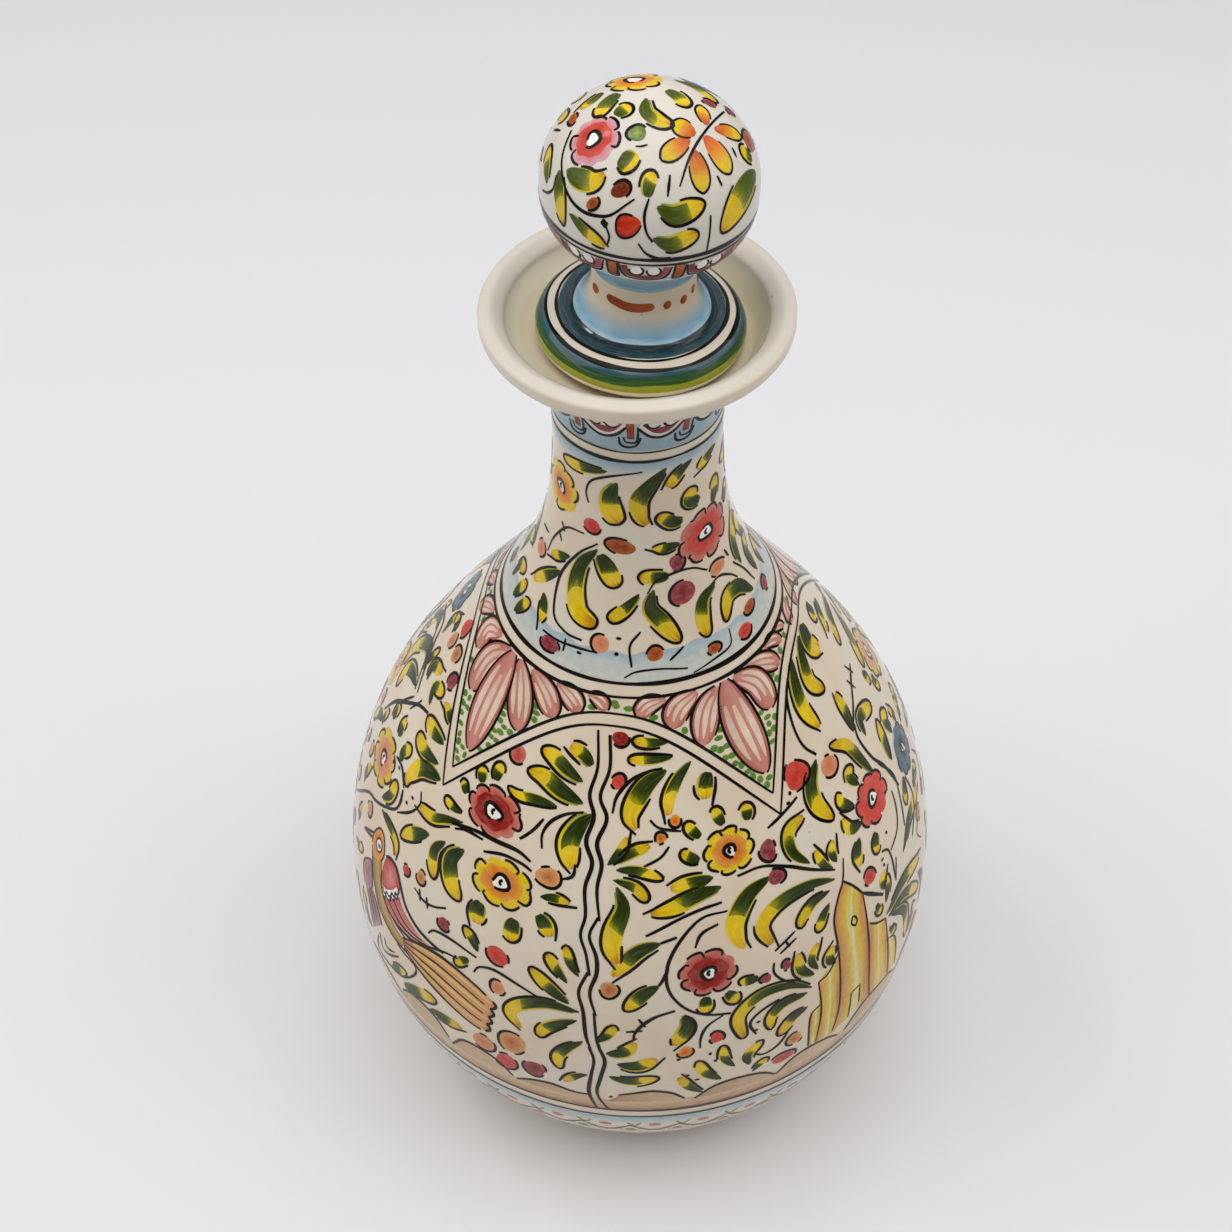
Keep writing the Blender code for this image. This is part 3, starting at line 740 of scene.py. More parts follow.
# The painting on the belly: leaves (greatest width, then spots from root to tip)
meadow = {
    "leaves": [
        (3.4, -15.3, 88.5, -18.5, 90.8, -22.8, 92), (3.6, -17.2, 84.2, -22.5, 86.3, -27, 88.3, -31, 88.9),
        (4.2, -16.2, 79.2, -22.5, 81, -28.5, 83, -33.3, 82.8),
        (2.6, -22.8, 77.4, -29, 77.2, -34, 76.3, -37.4, 76.9),
        (5.2, -13.6, 77.8, -16.5, 74.5, -18.2, 70, -17.3, 66, -16.2, 63.8), (3, -41.5, 76.5, -41.5, 81),
        (3, -45, 74, -46.5, 77.5), (2.4, -48, 69, -50.5, 71.5), (2.2, -46.8, 64.2, -50, 63.8, -53.2, 64.3),
        (2.8, -45.5, 62.3, -50, 60, -54, 57.5, -58.8, 56.6), (2.4, -22.5, 55, -15.8, 55.3),
        (4.8, -57, 66.5, -64, 64, -66.5, 58.5, -65.5, 56.5), (3.6, -62, 73.5, -68, 72.5, -72.5, 72.5),
        (3.8, -60, 68.5, -67, 67, -72, 67.5), (2.4, -64, 78, -68, 79.8, -70.5, 79.5),
        (3.6, -77.5, 60, -79, 62, -79, 64.5), (2.6, -87.5, 51.5, -89, 53, -88, 56),
        (3, -84, 58.5, -85.5, 60, -84.5, 62), (3, -82, 36.5, -83.5, 38.5, -82, 43),
        (3, -91.5, 39, -91.5, 42.5), (2.6, -91, 86.5, -93, 88.5, -97.5, 88.5),
        (3.4, -71.5, 58, -73, 60, -70.5, 63), (3.4, -75.5, 74, -78.5, 78, -73, 80),
        (3.4, -83.5, 75, -85.5, 78.5, -80, 81.5), (2.4, -89, 75, -89, 81.5),
        (3, -95.5, 81.5, -97, 86, -94, 90), (4.2, -87, 73.5, -95, 75, -102, 67, -101, 60),
        (4.0, -86, 70, -92, 68, -96, 64, -94.5, 59), (3, -100, 77, -106, 76, -108, 69),
        (3, -88.5, 52, -93, 49, -96, 43), (4.6, -35, 47, -35.3, 41), (4.5, -27, 47, -27, 40.8),
        (4.2, -22, 50.6, -19.3, 45.5), (5, -43, 57, -45.3, 52.5, -43.3, 47, -40.2, 44.2),
        (3.4, -48, 55.2, -50, 51.5, -49.3, 48, -47.8, 44.5),
        (4, -53, 53.3, -56, 50.5, -58.5, 48, -60.6, 45), (2.6, -69.8, 43, -65, 43.2, -61, 42, -60, 38.8),
        (3.6, -71.5, 45, -69, 49, -69, 53.5), (3, -33.8, 33.2, -37.8, 38.2),
        (2.6, -35.5, 29.3, -38.3, 25.5), (2.6, -12.7, 36.3, -14.5, 39.5, -15.8, 44.3),
        (2.8, -14.8, 33.8, -17, 37, -19.3, 40.8), (3.6, -14.2, 27.8, -18, 31, -22.5, 35.5),
        (3.8, -12.4, 25.2, -18.5, 25.8, -23.5, 23, -25.8, 19, -23.5, 14.8),
        (3.4, -12.8, 22.8, -16.5, 20, -19, 17, -19.8, 13.8),
        (3.4, -11.5, 15.5, -14.5, 12, -16.3, 7.5, -15.9, 3), (2.6, -10.8, 2.6, -13, 1, -15.2, -2.5),
        (3.4, -57, 0.5, -54, 4, -51.5, 6.5), (4, -53, -0.5, -48, 3.5, -43, 6.5),
        (4.2, -45, 0, -41, 1.5, -36.5, 2.5), (2.6, -79, 26, -79, 31.5), (2.4, -79, 19.5, -73, 24),
        (3, -66, 3, -69, 7, -70, 12), (3, -72, -2, -76, 4, -76, 9),
        (4.6, -6.3, 60.8, -4.6, 56, -6.2, 50, -6.6, 45.5, -5.4, 41.2),
        (4.2, 3.2, 46.8, -1, 45, -4, 41.5, -6.2, 37.5), (3.8, 2.6, 35, -0.5, 32.3, -3.8, 27.6),
        (2.6, -9, 16, -7, 18.5, -5.7, 22.3), (4, -7.2, 11.8, -4, 12.8, -1.8, 16.8),
        (4.4, -5.3, 8, -1.5, 7.5, 2, 10.5), (3.6, -6.8, 2.6, -2.5, 1, 2.3, 2.6),
        (4.2, 6.7, 25, 7.6, 21.5, 6.2, 17.5, 5.2, 15), (2.6, 16.6, 2.2, 14.7, 6.5, 14.3, 12),
        (3.2, 14, -2.3, 11, 2.5, 9.6, 8), (2.8, 10.8, -7, 8, -3, 6.2, 2), (3, 19.7, 1, 19.2, 5.5, 22, 9.3),
        (2.4, 20.3, -3, 23.3, 1), (3.4, 33, 20.3, 28, 25, 22, 25.7, 17.5, 21, 18.3, 13),
        (3.4, 31.8, 19, 27, 19.8, 24, 17, 23.8, 12.5), (3.4, 31.8, 14, 28.5, 13, 25.5, 8.8),
        (4.8, 28.3, 56.8, 22.5, 54.5, 18.8, 49, 18.8, 44, 20, 41.3),
        (3.6, 43, 46.5, 36.5, 49.6, 29, 49.5, 24.2, 45.5, 25.6, 39.5),
        (3.2, 41, 44.6, 36.5, 44.6, 33, 42, 32.5, 40), (3.2, 40.2, 41.3, 38, 39.3, 36, 36),
        (2.8, 22, 31.5, 18, 32.3), (3.4, 11.5, 30, 11.5, 25), (3.4, 15.3, 29.8, 17.3, 26),
        (3, 33.6, 23.8, 30.8, 28, 30.8, 33.3), (2.6, 34.8, 25, 33.5, 29, 35.5, 33),
        (3.2, 38.8, 23, 37.5, 26, 39, 29), (4.2, 17, 58.3, 11, 57.5, 6, 55.5, 1.3, 54.3),
        (4, 15.5, 61.5, 10.5, 60.8, 5.8, 60.3), (2.6, 43.5, 48.8, 41.5, 52, 40.5, 56.5),
        (2.6, 45, 50, 44.5, 53, 46, 55.5), (3.4, 53, 50, 50.8, 47, 50.5, 43.5),
        (3.4, 58.3, 46, 56.8, 44.5, 56.5, 41.5), (3, 56, 30, 55, 33, 57, 35),
        (3.6, 54.5, 22, 62, 24, 71.5, 20.2), (3.6, 55, 20.5, 62, 19.5, 69.5, 11),
        (2.6, 55, 26, 56.5, 30, 57, 33.5), (2.4, 52, 29, 53, 25), (2.4, 55, 16.5, 57.3, 12.5),
        (3.4, 64.5, 31.5, 71, 35.5, 80, 34.5), (2.6, 78, 37.5, 82, 36), (2.4, 88, 48.5, 93, 52),
        (2.4, 90, 43, 97, 41), (2.6, 70, 16, 73, 10, 71, 4), (2.8, 62, 2, 66, 6, 66, 10),
        (3, 78, 12, 82, 16, 81, 21), (2.4, 9, 94.7, 3, 94.8, -2.8, 95.3), (2.4, 9.5, 91, 3, 90.8, -4, 91),
        (4.4, 7, 88.3, 1.5, 85.5, -2.2, 81, -3.3, 77.5, -1.8, 74.8),
        (3, 14.5, 89.5, 10, 86, 7, 81.5, 6.6, 77.8), (4, 19, 86, 17, 80), (2.4, -8.3, 66, -4, 73),
        (3, -6.5, 66.5, 1.5, 71), (2.6, -6.3, 65.2, -1, 65, 4.3, 62.8),
        (2.4, -6.8, 62.8, -2, 61, 0.6, 57.8), (2.8, 14, 71.5, 11, 75.5), (2.8, 20.3, 73, 19, 77.5),
        (3, 26.5, 72, 27, 75.8), (3, 13, 66, 9, 69), (3.2, 38.3, 54.5, 35.2, 59.5, 36, 64.5, 41, 66),
        (4.4, 51.8, 74.5, 47, 71, 45.8, 66, 48.3, 60), (3.4, 65.8, 57.5, 64.5, 64, 63, 70, 57.8, 74),
        (3.2, 55.5, 57.5, 52.5, 61, 52.5, 64), (3, 60, 60, 58, 64.5, 61, 65),
        (3.2, 55.5, 52.5, 51.5, 54, 50.5, 58), (4.2, 64.5, 96.8, 59.5, 92, 57, 86, 58.5, 79.5),
        (4, 74.5, 97.5, 69, 93.5, 65.5, 88.5, 68.5, 84), (6, 81, 97, 77, 93, 80, 89),
        (3.6, 68.5, 69.5, 70, 74, 71, 80), (3.4, 71, 65, 73.5, 69, 80.5, 66),
        (3.6, 74, 52.5, 76, 58, 78.5, 62.5), (3.4, 81, 54, 81, 59, 84.5, 58.5),
        (3.2, 56, 20.5, 61.5, 14, 62, 2.5), (3.4, 95, 92.5, 88.5, 91.5), (3, 102, 88, 96, 88, 89.5, 86),
        (3, 109, 81, 98, 83, 89.5, 80.5), (3.6, 108, 77.5, 99, 74, 91, 69), (2.6, 88, 70, 88, 66),
        (2.6, 91, 65, 89.5, 61), (3, 93, 49, 96, 53), (2.6, 86, 52, 86, 57), (3, 79.5, 38, 84, 37),
        (3, 75, 45, 72, 39),
    ],
    "flowers": [
        ("rose", "crimson", -39, 69.5, 7.6, 5.9), ("sunYellow", "orange", -31.8, 54.5, 8, 6),
        ("sunYellow", "salmon", -78.5, 51, 8, 6.5), ("rose", "crimson", 12.3, 36.8, 6.9, 6.4),
        ("red", "red", 61.5, 54, 7.2, 6), ("sunYellow", "orange", 20.5, 66.5, 6, 5.6),
        ("cobalt", "cobalt", 81.5, 47.5, 6.4, 6.2), ("cobalt", "cobalt", -108.5, 88, 6, 5.6),
        ("sunYellow", "salmon", 99.5, 63.5, 7, 6.4),
    ],
    "berries": [
        ("rose", -38, 85, 2.2, 2.2), ("amber", -21.5, 60.3, 3.1, 2.6), ("amber", -80.5, 88, 2, 2.6),
        ("maroon", -73.5, 84.3, 2, 2.3), ("red", -86.5, 93, 2.2, 2.8), ("salmon", -87.5, 87, 2, 2.4),
        ("red", -55.5, 39.2, 1.6, 1.6), ("amber", -51, 41.5, 1.9, 1.9), ("maroon", -42.6, 34.7, 2, 2),
        ("red", -29.5, 35, 3.1, 2.7), ("salmon", -28.7, 25.4, 2.2, 2.2), ("amber", -25.3, 7.5, 4, 4),
        ("salmon", -31.5, 2, 3.4, 3.2), ("red", -26.8, -2, 3.2, 3.3), ("maroon", -21, -0.5, 3.1, 3.2),
        ("salmon", -86, 44, 2, 2), ("amber", -6.8, 33.5, 2.4, 2.4), ("orange", 7.3, 12.2, 2, 2),
        ("red", 13.2, 15.8, 2, 2), ("amber", 28.8, 4.2, 2.4, 2.4), ("rose", 26.7, -2, 3.3, 2.4),
        ("maroon", 29.8, 56, 2.2, 2.2), ("maroon", 23.4, 30.3, 1.7, 1.4), ("maroon", 28, 31.8, 1.3, 1.7),
        ("red", 52, 38.5, 2.4, 2.4), ("crimson", -7, 95.6, 2, 1.8), ("red", -6.8, 85.8, 1.6, 2),
        ("orange", 8.2, 76.3, 1.5, 1.5), ("orange", 4.3, 72.7, 1.4, 1.4), ("maroon", 29.5, 63, 2.2, 2.8),
        ("red", 44, 75.3, 3.7, 3.5), ("salmon", 54.5, 70.7, 3, 2.7), ("amber", 76, 30, 2.2, 2.2),
        ("red", 84, 28, 2, 2), ("maroon", -84, 20, 2.2, 2.2), ("salmon", -74.5, 37, 1.9, 2.1),
        ("salmon", 68, -1, 3, 2.6),
    ],
    "stems": [  # width, then spots
        (0.9, -48.5, 60.5, -42, 62.8, -36, 63.5, -30, 63.8, -26.2, 62.5),
        (0.7, -47, 59.8, -44, 61.5, -39, 62), (0.7, -38, 59.5, -33, 61.3, -28, 61.2, -25.5, 60.3),
        (0.7, -25.5, 73.5, -27.5, 70, -30.2, 66.7),
        (0.7, -15.5, 77.6, -20, 76.2, -23.5, 73.5, -25, 70, -24.3, 66.5),
        (0.7, -15.8, 65, -16, 62, -18.5, 60.7),
        (0.7, -88, 24, -84, 30, -78, 38.5, -73.5, 41.5, -68.5, 45.5, -65, 49.5, -66, 54.5),
        (0.6, -64.5, 48.5, -60.5, 53, -59, 57, -60.5, 59.5), (0.6, -66, 54.5, -64.8, 52, -65, 49),
        (0.6, -52, 37.3, -48.5, 36.3, -45.5, 37.5, -42.8, 39.6), (0.6, -50.6, 38.4, -49.6, 35.4),
        (0.6, -48.2, 38, -47.3, 35.2), (0.7, -45.9, 28.5, -44.5, 30.8, -40, 32, -33.8, 31.4),
        (0.7, -34, 26.5, -33, 29, -29.5, 30.4, -24, 28.8, -19.8, 27),
        (0.6, -62.5, 5.5, -63, -1, -58.5, -0.5, -53, 2.5, -49, 9, -48.5, 13, -52, 13.5, -54.5, 14),
        (0.6, -61.5, 8, -60.5, 3, -57.5, 5, -54, 9.5), (0.6, -59.5, 9, -58.5, 6.5, -55.5, 9),
        (0.6, -46, 24, -41, 26.8, -38, 27.5), (0.8, -83, 70.5, -89, 75, -94.5, 78, -100.5, 80.5, -110, 77),
        (0.7, -85, 69.5, -90, 73.5, -96, 76.5, -103, 78),
        (0.9, -73.5, 73, -78, 71, -82, 67.5, -88.5, 60, -91.5, 52.5), (0.6, -79, 72, -81, 66.5),
        (0.6, -83, 69, -86, 64), (0.7, -74, 57, -70, 57.5, -66, 55), (0.7, 6.5, 48, 3.2, 46.8),
        (0.8, 4.5, 40, 3.8, 37.5, 2.6, 35),
        (0.7, 17.5, 52.3, 12, 52, 7.5, 47.5, 4.5, 41, 4.3, 34, 7, 28, 11, 24.5, 16, 23),
        (0.7, 15.2, 49.6, 11.5, 48, 10, 44.5), (0.7, 21, 60, 27, 60, 33, 57, 38, 53, 43.8, 48.5),
        (0.7, 25.8, 22, 22, 20.5, 19.6, 17.5, 20.8, 12.8), (0.7, 20.5, 5, 22.5, 3.3, 25.5, 5, 27.8, 9.5),
        (0.6, 25.5, 34, 25.2, 31, 27, 27.5, 29.3, 25.2), (0.7, 0.2, 48.8, 7, 52.5, 12, 54.2, 16.6, 54.8),
        (0.8, -2.2, 17.5, -2, 20, -0.5, 23, 2, 25.5, 5.5, 27), (0.6, -1.3, 24.9, 0, 22.3),
        (0.6, -3.6, 20.5, -0.5, 21), (0.6, 26, 37.2, 31, 40), (0.6, 27, 35.8, 31, 38),
        (0.6, 28.5, 38.7, 29.3, 36.5), (0.6, 10, 13, 10.2, 17, 11.5, 20.5, 14.5, 23),
        (0.9, 48.8, 36.5, 54.5, 29.5), (0.7, -8, 78.3, -7, 82.5, -3, 86.5, 2, 88.3, 6, 88.7),
        (0.6, 1.8, 77, 4, 75, 9.5, 73.7), (0.6, 0, 66, 4, 68, 6.2, 70.5),
        (0.7, 31, 68, 36, 69.3, 41.5, 70.8), (0.7, 62, 96.3, 54, 92, 50.5, 86, 50, 80, 52.5, 75.5),
        (0.8, 70, 70.5, 68, 67, 68.5, 60, 70.5, 55, 72, 46), (0.7, 70, 70.8, 75, 73, 80, 75, 86, 76),
        (0.6, 79, 77, 80, 73), (0.6, 83, 78.5, 84, 74.5), (0.6, 69, 57.5, 72, 50, 70.5, 44, 68, 36.5),
        (0.6, 68.5, 48.5, 67.5, 44, 65, 39.5, 60.5, 37.5), (0.6, 57.5, 40.5, 59.5, 39, 60, 35.5, 59.5, 29),
        (0.5, 61.5, 34, 59.5, 28), (0.4, 75, 29.5, 72.5, 27, 74.5, 22.5), (0.7, 76, 44, 76, 36, 70, 30),
        (0.7, 86, 40, 88, 34, 82, 28),
    ],
    "dots": [
        (6, 9.6), (11.9, 10), (12.9, 6.8), (7.7, 2.5), (9.5, 0), (21.3, 17), (20.8, 14.3), (-6.5, -7),
        (61, 43), (57, 38.5), (57, 36.7), (38.5, 70.8), (40, 72.6), (-62, 56), (-63, 53.4), (-71, 56.4),
        (-74, 55),
    ],
    "backFrom": 70,  # degrees either side of the front that the back repeats, half a turn on
}
neckGarland = {
    "leaves": [
        (2.8, -21, 161.5, -40, 160, -58, 159), (5, -16, 159, -20.5, 154.5, -18.5, 150.5, -13.8, 147.8),
        (4.2, 18, 162.6, 8, 158.8, 0, 154.5, 0.5, 150, 5, 147.6), (2.8, 37, 162.5, 28, 160.5, 19, 157),
        (3, 61, 161.5, 52, 160.5, 42, 158.5), (4, 43, 149.6, 35, 151.2, 37.5, 154.5),
        (3.2, 56.5, 146, 59.5, 152.5), (3.6, 29, 146.5, 22, 146.8, 16, 148.5, 11.5, 149.5),
        (2.8, 26, 140.6, 16, 140.5, 7.5, 141), (3.4, 17, 133.2, 9, 133.3, 0, 133.8),
        (4.8, -27, 139.2, -36.5, 134, -38.5, 128, -33.5, 122.5, -23, 120.6),
        (4.6, -25.5, 138, -20.5, 135.5, -14, 131), (3, 0, 129.3, -8, 125.5, -16, 122.5),
        (4, 7, 130.3, 5, 126, 11, 122, 18.5, 117), (3.8, 46, 126.2, 36, 124.2, 32.5, 120, 33, 115.8),
        (3.8, 69.5, 116, 61, 120.5, 51, 121, 44.5, 116.5), (3.6, 71, 123.5, 72, 130, 82, 136),
        (3.2, 82.5, 116.5, 83.5, 123.5, 93.5, 125.5), (3, 92.5, 113, 94, 117.5, 101.5, 119),
        (2.6, -46, 134, -55, 132, -62, 130.5), (3, -50.5, 129, -60, 125, -69, 121),
        (3, -57, 121, -52, 114.5), (3, -77, 112, -72, 118), (3, -70, 110.5, -63, 116),
        (3, 84, 158, 76, 155, 70, 154), (2.8, 70, 142, 79.5, 146), (3.4, -84, 157, -92, 151, -90, 146),
        (3, -84, 124, -92, 128, -97, 134),
    ],
    "flowers": [("sunYellow", "orange", -62, 150, 6.1, 6.3), ("rose", "red", 46.5, 140, 7.5, 6.5)],
    "berries": [
        ("red", -32, 145, 2.1, 2.1), ("rust", -12, 141.4, 3.4, 2.1), ("maroon", 23, 136, 2, 2),
        ("maroon", 24.5, 128, 3.4, 2.8), ("salmon", 50.5, 129.3, 2.6, 1.9),
        ("salmon", -73.5, 128.3, 2.2, 2.2), ("maroon", -43, 111.7, 2.8, 1.8),
        ("salmon", -19, 116.5, 2.2, 2.2), ("rust", 6.5, 115, 1.9, 1.9), ("rust", 34, 112.3, 1.8, 1.4),
        ("red", 52, 111.3, 2.4, 1.7), ("rust", 61, 114.6, 2.6, 1.3), ("maroon", 80, 113, 2, 1.6),
    ],
    "stems": [
        (0.5, -35, 151, -37, 154, -33, 157.5, -22, 160, -10, 161.5, 2, 162.4),
        (0.6, -27, 140.8, -40, 136, -50, 128, -47, 119, -38, 116.3, -28, 116),
        (0.5, 4, 129.5, 10, 132.5, 22, 133.6, 33, 133, 42.5, 130.5),
        (0.5, 42, 126.5, 50, 127, 58, 125, 63, 122.5), (0.5, 64, 126.5, 71, 122, 75, 116.8),
        (0.6, 59.5, 131.5, 62, 129), (0.5, -66, 130, -64, 134, -58, 138, -50, 141, -37, 142),
        (0.5, -59, 138, -55, 136), (0.5, -57.5, 141, -53.5, 139), (0.5, -80, 133.5, -70, 134),
        (0.5, -49, 113.5, -40, 113.5, -30, 114, -20, 114.3), (0.5, -36, 114.8, -35.5, 111.8),
        (0.5, 0, 120.3, -5, 117, -4, 112), (0.4, -7, 109.5, -2, 111, 8, 111.4, 20, 110.3),
        (0.4, 22, 108.9, 32, 110, 42, 111, 44.5, 114.5), (0.5, 12.8, 113, 20, 115.5),
    ],
    "dots": [(-28, 113), (-10.5, 118.5), (-11, 114.8)],
    "backFrom": 100,
}
crownSpray = {
    "leaves": [
        (3.6, -6.8, 1.9, -10.9, -3.6), (3.4, -7.2, -4.9, -4.4, -2.8),
        (3, -1.4, -0.9, -1.6, -4.5, 0.6, -6.8, 3, -7.6), (3.2, 2.3, 2.2, 6, -2),
        (4.6, -6.9, -13.8, -4.3, -16.5), (4.4, -19, -12, -16.5, -15, -13, -17, -10.3, -16.3),
        (3, -1.7, -21.7, -0.4, -17.2), (4.2, 0.7, -23.3, 4.5, -24.6, 8.5, -23, 11.3, -21.2),
        (4, 0, -29.6, 4.5, -30.6, 8.5, -29, 11.8, -27.3),
        (6.2, 24.6, -7, 22.5, -12, 20.5, -18, 18.6, -24.3), (3, 22.3, -5.2, 18.2, -6),
        (4, -21, -10.6, -23, -15.5, -24.8, -20.8), (3, -21.2, -20.2, -18, -25.5, -13.4, -30.2),
        (3, -25.8, -10, -24.6, -5.5, -23, -2.2), (2.6, -10, 4.2, -14.6, 1.4), (3, -19.5, 10, -18.5, 2),
        (3, -15, 17, -15, 7), (2.6, 4, 8, 12.5, 3.5), (3.4, 18, 8, 14, 14), (3.4, 8, 18, 2, 22, -4, 21),
        (3.6, 25, 4, 24, 12, 19, 18), (3.4, -24, 8, -24, 15, -19, 20), (3.4, -8, 24, -2, 29, 6, 29),
        (3, 12, 22, 18, 24), (3.2, -12, 26, -18, 24), (3, 29.5, 2, 30.5, 8),
    ],
    "flowers": [
        ("sunYellow", "orange", -3.8, 7.2, 5.4, 5.2), ("pinkRose", "red", -12.1, -8.6, 5.4, 5.3),
        ("cobalt", "cobalt", 10, 13, 4.6, 4.4),
    ],
    "berries": [
        ("rust", -16.4, -0.3, 1.2, 1.9), ("brick", -7.2, -19.9, 2.2, 1.6), ("rust", -14, -21, 1.8, 1.2),
        ("mossGreen", -3.5, -9.5, 1.9, 1.8), ("maroon", 10.8, 1.7, 1.6, 1.4),
        ("maroon", 15.7, 3.3, 1.3, 1.3), ("rust", 21, -1, 2.3, 3), ("red", -12, 19, 2, 2),
        ("maroon", 14, 28, 2, 1.8), ("rust", -28, 2, 1.8, 2),
    ],
    "stems": [
        (0.55, -16.7, -3.6, -19.6, -8.3, -20.4, -13, -19.6, -17.8, -17, -21.5, -13.3, -23.6, -9.6, -24.1,
         -4.3, -22),
        (0.55, -1.2, -22, -2.2, -25.2, -1.7, -28.3, 0, -30.4),
        (0.55, -3.8, -30.7, -1.7, -33, 2, -34.1, 5.7, -33.6), (0.5, 3, -17.5, 2.8, -21.5),
        (0.5, 13.6, -22.8, 15.7, -27.8, 16.8, -30.4), (0.5, -11.7, -26.2, -11.4, -28.3, -12.5, -29.9),
        (0.7, -12.8, -25, -11.2, -25.8), (0.5, -21.7, 2.2, -19.6, -1),
        (0.5, -29, -8.8, -27, -11.5, -24.3, -12.8, -22.2, -11), (0.5, 13.2, -15.2, 14.8, -16.6),
        (0.5, 16, -7.6, 17.4, -9), (0.45, 14.1, 1.4, 7.5, -11.7, 5.2, -19.4),
        (0.35, -3.8, -12.2, -2.6, -12.3, -1.5, -12), (0.5, -12.9, -25.2, -11, -25.6),
        (1.2, -12.4, -24.6, -11.6, -26.2), (0.5, 20, 12, 12, 20, 2, 25, -10, 24),
        (0.5, -20, 18, -26, 8, -27, -2),
    ],
}
crownHeart = (-9.1, -26.4, -6.4, -26.9, -3, -26.6)
crownPetals = [
    (2.8, 9.9, -5.5, 8.7, -0.9), (3.2, 11.7, -5.7, 18, -2.8), (4, 7.7, -8.6, 3.4, -7.2),
    (3.6, 6.5, -9.9, 1.5, -14.6), (4.2, 7.5, -12, 10.5, -19), (4.6, 9.6, -8.3, 16, -13),
]


def turnedRound(corners, by):
    # The same corners, moved round the piece
    moved = list(corners)
    moved[::2] = [azimuth + by for azimuth in corners[::2]]
    return tuple(moved)


def paintGarden(chart, garden, outline):
    rounds = [0, 180] if "backFrom" in garden else [0]
    for by in rounds:
        def near(a):
            return by == 0 or abs(a) <= garden["backFrom"]

        for width, *corners in garden["stems"]:
            if near(corners[0]) and near(corners[-2]):
                line(chart, *turnedRound(corners, by), width=width)
        for width, *corners in garden["leaves"]:
            if near(corners[0]):
                leaf(chart, width, *turnedRound(corners, by), outline=outline)
        for outer, inner, x, y, across, high in garden["flowers"]:
            if near(x):
                flower(chart, outer, inner, x + by, y, across, high, outline=outline)
        for paint, x, y, across, high in garden["berries"]:
            if near(x):
                berry(chart, paint, x + by, y, across, high, outline=outline)
        for x, y in garden.get("dots", []):
            if near(x):
                dot(chart, x + by, y)


paintGarden(onBody, meadow, 0.70)
paintGarden(onBody, neckGarland, 0.60)
paintGarden(onCrown, crownSpray, 0.58)
heart = even(onCrown, smooth(crownHeart, 25))[0]
t = np.linspace(0, 1, len(heart))
form = 7.6 * (t + 0.01) ** 0.35 * (1 - t * 0.98) ** 0.62 / 0.86
ribbon(onCrown, "scarlet", heart, form, 5, 5)
edge = sides(onCrown, heart) * form[:, None] / 2
lineAlong(onCrown, np.vstack([(heart - edge)[::-1], (heart + edge)[:9]]), 0.5)
for width, *corners in crownPetals:
    path = even(onCrown, smooth(corners, 25))[0]
    t = np.linspace(0, 1, len(path))
    form = (t + 0.05) ** 0.7 * (1 - t * 0.97) ** 0.45
    full = width * form / form.max()
    ribbon(onCrown, "sunYellow", path, full, 4, 4, (0.4, 1))
    ribbon(onCrown, "orange", path, full, 5, 4, (0, 0.62), 0.05)
    side = sides(onCrown, path) * (full / 2 + 0.1)[:, None]
    left = (path + side)[int(len(path) * hand.uniform(0.05, 0.3)):]
    right = (path - side)[int(len(path) * 0.35):]
    around = np.vstack([left, path[-1] * 2 - path[-2], right[::-1]])
    lineAlong(onCrown, smooth(around, len(around) * 2), 0.42)
print("garden painted:", sum(len(jobs) for jobs in painted.values()), "strokes")

# Lines and washes that ring the body
for height, width in ((167.8, 0.45), (165.2, 0.8), (108.1, 1.0), (105.1, 0.8)):
    ringLine(onBody, height, width)
band(onBody, "paleSky", 108.6, 115.4, 0, rows=5, ragged=0.25)
band(onBody, "slateWash", 164.8, 160.6, 0)
band(onBody, "slateWash", 168.2, 190.0, 0, rows=26)
band(onBody, "slateWash", -19.8, -27.0, 0, rows=4)
ringLine(onBody, -14.8, 1.0)
ringLine(onBody, -19.3, 1.2)

# Hills: taupe humps over the ground line. Where one starts, heights left, on top and right, width
hills = [
    (-54, -5, -0.3, -7, 13.5), (-39.8, -9.2, -2.0, -8.3, 14), (-25, -9, -5.4, -7.0, 14.4),
    (-5, -5.7, -3.5, -8.7, 12.3), (9.2, -9.6, -3.7, -9.2, 16.2), (25.6, -9.5, -4, -8.5, 14.5),
    (42, -9, -2.5, -8, 17),
]
hillsFoot = -9.3
moreHills = {"count": 16, "from": 60, "apart": 15.4, "side": -8.5, "peak": -3.4, "width": 14}
for i in range(moreHills["count"]):
    left = moreHills["side"] + hand.uniform(-1, 1)
    peak = moreHills["peak"] + hand.uniform(-1.2, 1.4)
    right = moreHills["side"] + hand.uniform(-1, 1)
    hills.append((moreHills["from"] + moreHills["apart"] * i, left, peak, right, moreHills["width"]))
band(onBody, "earthTaupe", -14.3, -8.8, 1, rows=5)
for start, left, peak, right, wide in hills:
    rise = (start, left, start + wide * 0.22, peak - 1.1, start + wide * 0.5, peak)
    arch = smooth(rise + (start + wide * 0.8, peak - 1.6, start + wide, right), 25)
    approach = [(start - 2.2, hillsFoot), (start - 0.7, (left + hillsFoot) / 2)]
    hump = smooth(np.vstack([approach, arch[::4], (start + wide + 1.5, hillsFoot)]), 40)
    ground = np.c_[hump[:, 0], np.full(len(hump), hillsFoot - 0.1)]
    loft(onBody, "earthTaupe", ground, np.c_[hump[:, 0], np.maximum(hump[:, 1], hillsFoot)], 1, rows=6)
    lineAlong(onBody, arch, 0.8)

